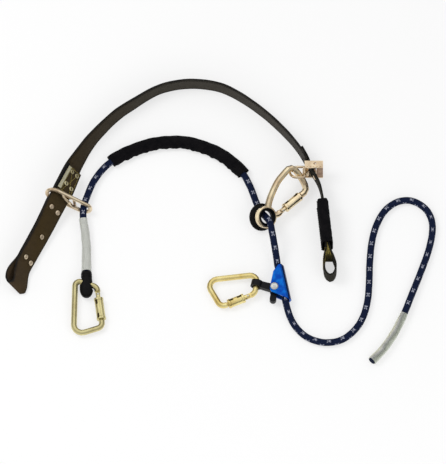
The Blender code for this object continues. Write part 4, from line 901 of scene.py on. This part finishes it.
def make_patch(frames, ring_at):
    """The riveted patch above the ring: webbing, a black bound edge, a plain tag strip and yellow seams."""
    start, stop = (ring_at + s for s in PATCH_SPAN)
    step_up = STRAP_THICKNESS + PATCH_GAP
    span = lines_at(frames, np.linspace(start, stop, 60))
    section = strap_section(STRAP_WIDTH, STRAP_THICKNESS - 0.0002, 0.0012)
    patch = drawn("strap_patch_webbing", "webbing", ribbon, span, section, step_up, None, start, sharp=50)
    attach(patch, "strap_and_rope")
    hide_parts("strap_patch")

    front = step_up + STRAP_THICKNESS / 2
    inset = 0.0028
    first, last = start + inset, stop - inset
    box_low, box_high = 0.0045, 0.0275
    cross_low, cross_high = 0.0062, 0.0258
    bm = bmesh.new()
    for path in (rectangle(first, last, box_low, box_high), [(first, cross_low), (last, cross_high)],
                 [(first, cross_high), (last, cross_low)]):
        stitch_line(bm, frames, path, front)
    tag_low, tag_high = TAG_ACROSS
    tag_start, tag_stop = start + 0.004, stop - 0.004
    tag_hem = 0.001
    tag_seam = rectangle(tag_start + tag_hem, tag_stop - tag_hem, tag_low + tag_hem, tag_high - tag_hem)
    stitch_line(bm, frames, tag_seam, front + TAG_GAP + TAG_THICKNESS - 0.0001, 0.0024, 0.0010, 0.0003)
    seam = finished("patch_stitching", bm, "yellow_thread")
    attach(seam, "strap_and_rope")

    binding_width = 0.0042
    edge = lines_at(frames, np.linspace(start - 0.0006, stop + 0.0006, 60))
    section = strap_section(binding_width, STRAP_THICKNESS + 0.0014, 0.0009, STRAP_WIDTH - 0.0040)
    binding = drawn("patch_edge_binding", "black_binding", ribbon, edge, section, step_up,
                    lambda a, h, d: 0.00015 * math.sin(a * 420) * outward(d), sharp=50)
    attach(binding, "strap_and_rope")

    def curl(along, height, depth):
        return 0.00018 * math.sin(along * 330) * math.sin(math.pi * (height - tag_low) / (tag_high - tag_low))
    strip = lines_at(frames, np.linspace(tag_start, tag_stop, 40))
    section = strap_section(tag_high - tag_low, TAG_THICKNESS, 0.0003, tag_low)
    tag_at = front + TAG_GAP + TAG_THICKNESS / 2
    tag = drawn("patch_tag_cloth", "tag_cloth", ribbon, strip, section, tag_at, curl, sharp=60)
    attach(tag, "strap_and_rope")
    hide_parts("patch_tag")


def make_strap_seams(frames, ring_at):
    """Dark seams along both edges of the strap, from above the patch to its end."""
    from_edge = 0.0032
    from_ring = 0.075
    before_end = 0.006
    face = STRAP_THICKNESS / 2 - 0.00012
    start, stop = ring_at + from_ring, distances(frames)[-1] - before_end
    bm = bmesh.new()
    for height in (from_edge, STRAP_WIDTH - from_edge):
        stitch_line(bm, frames, [(start, height), (stop, height)], face, 0.0034, 0.0014, 0.00034)
    seam = finished("strap_edge_seams", bm, "black_binding")
    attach(seam, "strap_and_rope")


def turned_rings(matrix, profile, sides):
    """Rings round a placement's Z, one for each (radius, height)."""
    return [[matrix @ Vector((radius * math.cos(a), radius * math.sin(a), height)) for a in full_turn(sides)]
            for radius, height in profile]


def turned_skin(bm, rings, solid):
    """The skin of a turned piece, whose corners are joined where they meet."""
    sides = len(rings[0])
    skin(bm, rings, lambda i, k: (k / sides, i * 0.001), (solid, solid))
    bmesh.ops.remove_doubles(bm, verts=bm.verts, dist=WELD)


def rivet_piece(name, matrix, profile, material, node):
    """A turned fastener: profile is (radius, height) down the outer side; a hollow one closes on itself."""
    rings = turned_rings(matrix, profile, 28)
    piece = drawn(name, material, turned_skin, rings, profile[0] != profile[-1], sharp=38)
    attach(piece, "strap_and_rope")
    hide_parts(node)


def rivet_places(frames, ring_at, places):
    result = []
    for along, height in places:
        row = lines_at(frames, [ring_at + along])[0]
        base, across, front = row[:3], row[3:6], row[6:9]
        ahead = np.cross(across, front)
        centre = base + across * height
        result.append(frame_matrix(centre, unit(ahead), unit(np.cross(front, ahead)), unit(front)))
    return result


def two_heads(top, bottom, start, shares):
    """A head's profile above top and the same below bottom: start, then shares of its radius and height."""
    head = [(RIVET_HEAD * wide, top + HEAD_HEIGHT * high) for wide, high in shares]
    front = start + head + [(RIVET_SHANK, top)]
    return front + [(radius, bottom - (level - top)) for radius, level in front[::-1]]


def domed_profile(top, bottom):
    """A solid rivet with a domed, slightly dished head at both ends."""
    return two_heads(top, bottom, [(0.0001, top + HEAD_HEIGHT * 0.80)], (
        (0.22, 0.84), (0.40, 1.0), (0.62, 0.93), (0.84, 0.62), (0.96, 0.30), (1.0, 0.08), (0.99, 0.0)))


def eyelet_profile(top, bottom):
    """A rolled eyelet: a rounded flange and a flared throat."""
    bore = 0.0016
    throat = [(bore, top + HEAD_HEIGHT * 0.1), (bore + 0.0002, top + HEAD_HEIGHT * 0.7)]
    flange = ((0.52, 0.98), (0.72, 0.92), (0.92, 0.50), (1.0, 0.12), (0.98, 0.0))
    profile = two_heads(top, bottom, throat, flange)
    return profile + profile[:1]


def make_strap_rivets(frames, ring_at):
    half = STRAP_THICKNESS / 2
    leg_back = -half - LAYER_GAP - STRAP_THICKNESS
    patch_front = half + PATCH_GAP + STRAP_THICKNESS
    domed = domed_profile(half + RIVET_SEAT, leg_back - RIVET_SEAT)
    for i, matrix in enumerate(rivet_places(frames, ring_at, LEG_RIVETS), 1):
        rivet_piece(f"leg_rivet_head_{i}", matrix, domed, "copper_rivet", f"leg_rivet_{i}")
    rolled = eyelet_profile(patch_front + RIVET_SEAT, -half - RIVET_SEAT)
    for i, matrix in enumerate(rivet_places(frames, ring_at, PATCH_RIVETS), 1):
        rivet_piece(f"patch_eyelet_ring_{i}", matrix, rolled, "brass_eyelet", f"patch_eyelet_{i}")


def make_tail(strap):
    """The narrower webbing behind the strap's end, through the buckle and down to its loop."""
    step_back = (STRAP_THICKNESS + TAIL_THICKNESS) / 2 + LAYER_GAP
    lap = []
    for row in lines_at(strap, distances(strap)[-1] - np.array((0.024, 0.012, 0.001))):
        x, y = (row[:3] - row[6:9] * step_back)[:2]
        lap.append((x, y, 0.0060, 0.0))
    frames = ribbon_frames(smooth_points(lap + list(TAIL_ROUTE), TAIL_STATIONS))
    total = distances(frames)[-1]
    fine = lines_at(frames, np.linspace(0, total, 220))
    section = strap_section(TAIL_WIDTH, TAIL_THICKNESS - 0.0002, 0.0010)
    tail = drawn("strap_tail_webbing", "tail_webbing", ribbon, fine, section, 0.0,
                 lambda a, h, d: 0.0001 * math.sin(a * 150 + h * 60) * outward(d), sharp=50)
    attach(tail, "strap_and_rope")
    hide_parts("strap_tail")
    place = rivet_places(frames, 0.0, (TAIL_RIVET,))[0]
    seat = TAIL_THICKNESS / 2 + RIVET_SEAT
    rivet_piece("tail_rivet_head", place, domed_profile(seat, -seat), "copper_rivet", "tail_rivet")
    make_tail_seams(frames, total)
    make_tail_neck()
    make_wrap()


def make_tail_seams(frames, total):
    """Five rows of yellow seams on both faces at the neck of the end loop."""
    neck = total - NECK_SEAM_BACK
    half_row = 0.018
    lowest, row_step = 0.0030, 0.0070
    bm = bmesh.new()
    for row in range(5):
        height = lowest + row * row_step
        path = [(neck - half_row, height), (neck + half_row, height)]
        for face in (-TAIL_THICKNESS / 2, TAIL_THICKNESS / 2):
            stitch_line(bm, frames, path, face, 0.0032, 0.0010, 0.00046)
    seam = finished("tail_neck_stitching", bm, "yellow_thread")
    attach(seam, "strap_and_rope")


def make_tail_neck():
    """The folded webbing sewn between the end loop's two sides, just below the wrap."""
    turn_back = int(np.argmin([stop[1] for stop in TAIL_ROUTE]))
    right = np.array(TAIL_ROUTE[:turn_back + 1])[:, :2]
    left = np.array(TAIL_ROUTE[turn_back:])[:, :2]
    inner = TAIL_THICKNESS * 0.42
    low = 0.0020
    high = TAIL_WIDTH - 0.0006
    rings = []
    tops = []
    for here in np.linspace(NECK_TOP, NECK_BOTTOM, 16):
        x_left = np.interp(here, left[:, 1], left[:, 0]) + inner
        x_right = np.interp(-here, -right[:, 1], right[:, 0]) - inner
        wide = x_right - x_left
        rings.append([(x_left + wide * share, here, level) for share, level in (
            (0.0, low), (0.0, high - 0.0014), (0.2, high), (0.8, high), (1.0, high - 0.0014), (1.0, low))])
        tops.append([(x_left + wide * share, here, high + 0.0002) for share in (0.22, 0.5, 0.78)])
    neck = drawn("tail_neck_fold", "neck_webbing", skin, rings, lambda i, k: (k * 0.004, i * 0.002), sharp=40)
    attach(neck, "strap_and_rope")
    bm = bmesh.new()
    for seam in zip(*tops):
        for i in range(0, len(seam) - 2, 2):
            tube(bm, np.array(seam[i:i + 3]), 0.0006, 6)
    thread = finished("tail_neck_threads", bm, "yellow_thread")
    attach(thread, "strap_and_rope")


def make_wrap():
    """The black sleeve round the tail: soft corners, drawn-in sides and top, and two lengthwise seams."""
    top, bottom = np.array(WRAP_TOP), np.array(WRAP_BOTTOM)
    run = float(np.linalg.norm(bottom - top))
    ahead = (bottom - top) / run
    side = np.array((-ahead[1], ahead[0], 0.0))
    up = np.array((0, 0, 1.0))
    half_wide, half_high = WRAP_WIDTH / 2, WRAP_HEIGHT / 2
    middle = WRAP_BASE + half_high
    rounding = 0.0062
    wall = 0.0017
    corners = []
    for i, (a, b) in enumerate(((1, 1), (-1, 1), (-1, -1), (1, -1))):
        corners.append([(a * (half_wide - rounding) + rounding * math.cos(angle),
                         b * (half_high - rounding) + rounding * math.sin(angle))
                        for angle in np.radians(np.linspace(90 * i, 90 * i + 90, 6))])
    outline = []
    for here, there in zip(corners, corners[1:] + corners[:1]):
        a, b = np.array(here[-1]), np.array(there[0])
        outline += here + [tuple(a + (b - a) * share) for share in (0.25, 0.5, 0.75)]

    def hollow(share, height):
        return 1.0 - 0.045 * math.sin(math.pi * share) * (1 - (height / half_high) ** 2)

    def ring(share, inset):
        centre = np.array((*(top + (bottom - top) * share), middle))
        near_top = math.exp(-(share / 0.035) ** 2)
        scale = (half_wide - inset) / half_wide * (1.0 - 0.16 * near_top)
        tall = (half_high - inset) / half_high * (1.0 - 0.05 * near_top)
        points = []
        for w, h in outline:
            crease = (0.0003 * math.sin(share * 21 + h * 160)
                      + 0.0002 * math.sin(share * 47 + w * 260 + h * 90))
            wide = w * hollow(share, h) * scale - math.copysign(abs(crease), w)
            points.append(centre + side * wide + up * (h * tall))
        return points
    steps = np.linspace(0, 1, 44)
    lips = (0.0002, 0.0008, 0.0016)
    rings = ([ring(0.0, lip) for lip in lips[::-1]] + [ring(share, 0.0) for share in steps]
             + [ring(1.0, lip) for lip in lips] + [ring(share, wall) for share in steps[::-1]])
    wrap = drawn("tail_wrap_cover", "black_nylon", skin, rings, lambda i, k: (k * 0.003, i * 0.002),
                 (False, False), sharp=60)
    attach(wrap, "strap_and_rope")
    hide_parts("tail_wrap")

    step = 0.0046
    stitch = 0.0032
    from_edge = 0.0065
    bm = bmesh.new()
    for height in (from_edge, WRAP_HEIGHT - from_edge):
        for n in range(int(run / step)):
            points = []
            for k in range(5):
                along = n * step + 0.003 + stitch * k / 4
                bow = 0.0002 * math.sin(math.pi * k / 4)
                out = half_wide * hollow(along / run, height - half_high) + bow - 0.0001
                points.append(np.array((*(top + ahead * along), WRAP_BASE + height)) - side * out)
            tube(bm, np.array(points), 0.00035, 6)
    seam = finished("tail_wrap_seams", bm, "black_binding")
    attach(seam, "strap_and_rope")


# The moulded boot round the rope's eye

def carved(obj, cutter):
    """The cutter's shape taken out of the object, the step applied and the cutter taken away."""
    step = obj.modifiers.new("carve", 'BOOLEAN')
    step.object = cutter
    step.operation = 'DIFFERENCE'
    step.solver = 'EXACT'
    step.material_mode = 'TRANSFER'
    bpy.context.view_layer.update()
    evaluated = obj.evaluated_get(bpy.context.evaluated_depsgraph_get())
    mesh = bpy.data.meshes.new_from_object(evaluated)
    obj.modifiers.clear()
    obj.data = mesh
    bpy.data.objects.remove(cutter, do_unlink=True)


def make_boot():
    """A moulded block with soft edges and two shallow grooves near its mouth, and the carabiner's hole."""
    centre_x, _, centre_z = LEFT_SWING_AT
    # How far down a ring lies, and its share of the boot's width and height
    profile = ((0.0, 0.66, 0.72), (0.0012, 0.74, 0.86), (0.0040, 0.79, 0.95), (0.0062, 0.80, 0.97),
               (0.0068, 0.76, 0.93), (0.0080, 0.76, 0.93), (0.0086, 0.81, 0.98), (0.0110, 0.81, 0.985),
               (0.0116, 0.77, 0.94), (0.0128, 0.77, 0.94), (0.0134, 0.82, 0.985), (0.0160, 0.83, 0.985),
               (0.0220, 0.91, 0.985), (0.0280, 0.985, 0.985), (0.0360, 0.985, 0.985), (0.0400, 0.94, 0.95),
               (0.0440, 0.84, 0.88), (0.0470, 0.72, 0.78), (0.0490, 0.60, 0.68), (0.0508, 0.42, 0.50),
               (BOOT_LENGTH, 0.26, 0.32))
    squareness = 3.0
    rings = []
    for drop, wide, high in profile:
        ring = []
        for a in full_turn(48):
            c, s = math.cos(a), math.sin(a)
            square = min(1.0, (abs(c) ** squareness + abs(s) ** squareness) ** (-1 / squareness))
            ring.append((centre_x + BOOT_WIDTH / 2 * wide * square * c * 0.985, BOOT_TOP - drop,
                         centre_z + BOOT_HEIGHT / 2 * high * square * s))
        rings.append(ring)
    boot = drawn("rope_eye_boot_cover", "black_rubber", skin, rings, lambda i, k: (k * 0.001, i * 0.002),
                 sharp=40)
    bore = CARABINER_ROD / 2 + 0.0009
    half_hole = ((0.0001, 0.016), (0.0102, 0.016), (0.0082, 0.0095), (bore, 0.004))
    hole_profile = half_hole + tuple((radius, -level) for radius, level in half_hole[::-1])
    hole = turned_rings(axis_frame(LEFT_SWING_AT, LEFT_BOOT_AXIS), hole_profile, 40)
    carved(boot, drawn("boot_hole", "black_rubber", skin, hole, lambda i, k: (0.0, 0.0)))
    boot.data.set_sharp_from_angle(angle=math.radians(40))
    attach(boot, "strap_and_rope")
    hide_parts("rope_eye_boot")


# The carabiners' and the hook's locking sleeves

def latch_place(latch):
    """A latch's placement, read from its joints: X into the opening, Z along the gate, Y across the plane."""
    joints = {joint["name"]: joint for joint in frame["joints"]}
    hinge = joints[latch + "_gate_hinge"]
    y_axis = unit(hinge["axis"])
    z_axis = unit(joints[latch + "_sleeve_twist"]["axis"])
    return frame_matrix(hinge["pos_m"], np.cross(y_axis, z_axis), y_axis, z_axis)


def make_locking_sleeve(latch, finish, window_turn):
    """A turned sleeve with two collars, fine flutes between them and two windows on its inner side, whose cut
    faces carry a dark brown painted shade.
    """
    node = frame["nodes"][latch + "_locking_sleeve"]
    place = latch_place(latch)
    inverse = place.inverted()
    corners = [inverse @ (node.matrix_world @ v.co) for v in node.data.vertices]
    low = min(v.z for v in corners)
    high = max(v.z for v in corners)
    outer = max(math.hypot(v.x, v.y) for v in corners) - 0.00005
    bore = min(math.hypot(v.x, v.y) for v in corners if abs(v.z - low) < 0.0001) + 0.0001
    place = SHIFT_BACK @ place
    # From each end inwards: how far in, and how far below the collar's radius
    collar = ((0.0, 0.0010), (0.0002, 0.0004), (0.0007, 0.0), (0.0044, 0.0), (0.0049, 0.0003),
              (0.0053, 0.0006))
    profile = ([(bore, low)] + [(outer - drop, low + inward) for inward, drop in collar]
               + [(outer - drop, high - inward) for inward, drop in collar[::-1]]
               + [(bore, high), (bore, low)])
    sides = 72
    rings = turned_rings(place, profile, sides)
    waist, depth = outer - collar[-1][1], 0.00016
    for i in (len(collar), len(collar) + 1):
        fluted = turned_rings(place, [(waist - depth, profile[i][1])], sides)[0]
        rings[i] = [fluted[k] if k % 3 == 0 else rings[i][k] for k in range(sides)]
    sleeve = drawn(latch + "_fluted_sleeve", finish, turned_skin, rings, False, sharp=30)
    turned = place @ Matrix.Rotation(math.copysign(math.radians(window_turn), place.col[1][2]), 4, 'Z')
    window_size = (0.0056, 0.0052, 0.0088, 1.0)
    # Each window's cut faces take the cutter's dark brown, a painted shade in the recess
    for level in (low + 0.0085, high - 0.0070):
        window = Matrix.Translation((outer + 0.0005, 0, level)) @ Matrix.Diagonal(window_size)
        bm = bmesh.new()
        bmesh.ops.create_cube(bm, size=1.0, matrix=turned @ window)
        carved(sleeve, finished("window", bm, "window_painted_shade", smooth=False))
    sleeve.data.set_sharp_from_angle(angle=math.radians(30))
    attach(sleeve, latch + "_sleeve")
    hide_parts(latch + "_locking_sleeve")


# Metal parts that keep the model's own shapes get finer finishes

def node_finishes():
    finishes = {"friction_ring": "ring_bronze", "hook_eye_bush": "black_rubber", "adjuster_shell": "blue",
                "adjuster_axle": "silver_plate", "adjuster_cam_arm": "black_coat",
                "adjuster_cam_spring": "spring_steel", "d_ring": "aged_zinc", "buckle_frame": "aged_zinc",
                "buckle_grip_bar": "dark_brown_plate", "buckle_keeper": "dark_brown_plate"}
    for latch, (finish, _) in LATCHES.items():
        for part in ("body", "gate", "gate_plunger"):
            finishes[f"{latch}_{part}"] = finish
        for part in ("gate_spring", "sleeve_spring"):
            finishes[f"{latch}_{part}"] = "spring_steel"
        finishes[latch + "_gate_rivet"] = "silver_plate"
    return finishes


def finish_nodes():
    for name, finish in node_finishes().items():
        for slot in frame["nodes"][name].material_slots:
            slot.material = MATERIALS[finish]


MATERIALS = make_materials()
make_camera()
make_studio()
make_rope()
make_tail(make_strap())
make_boot()
for latch_name, latch_settings in LATCHES.items():
    make_locking_sleeve(latch_name, *latch_settings)
finish_nodes()
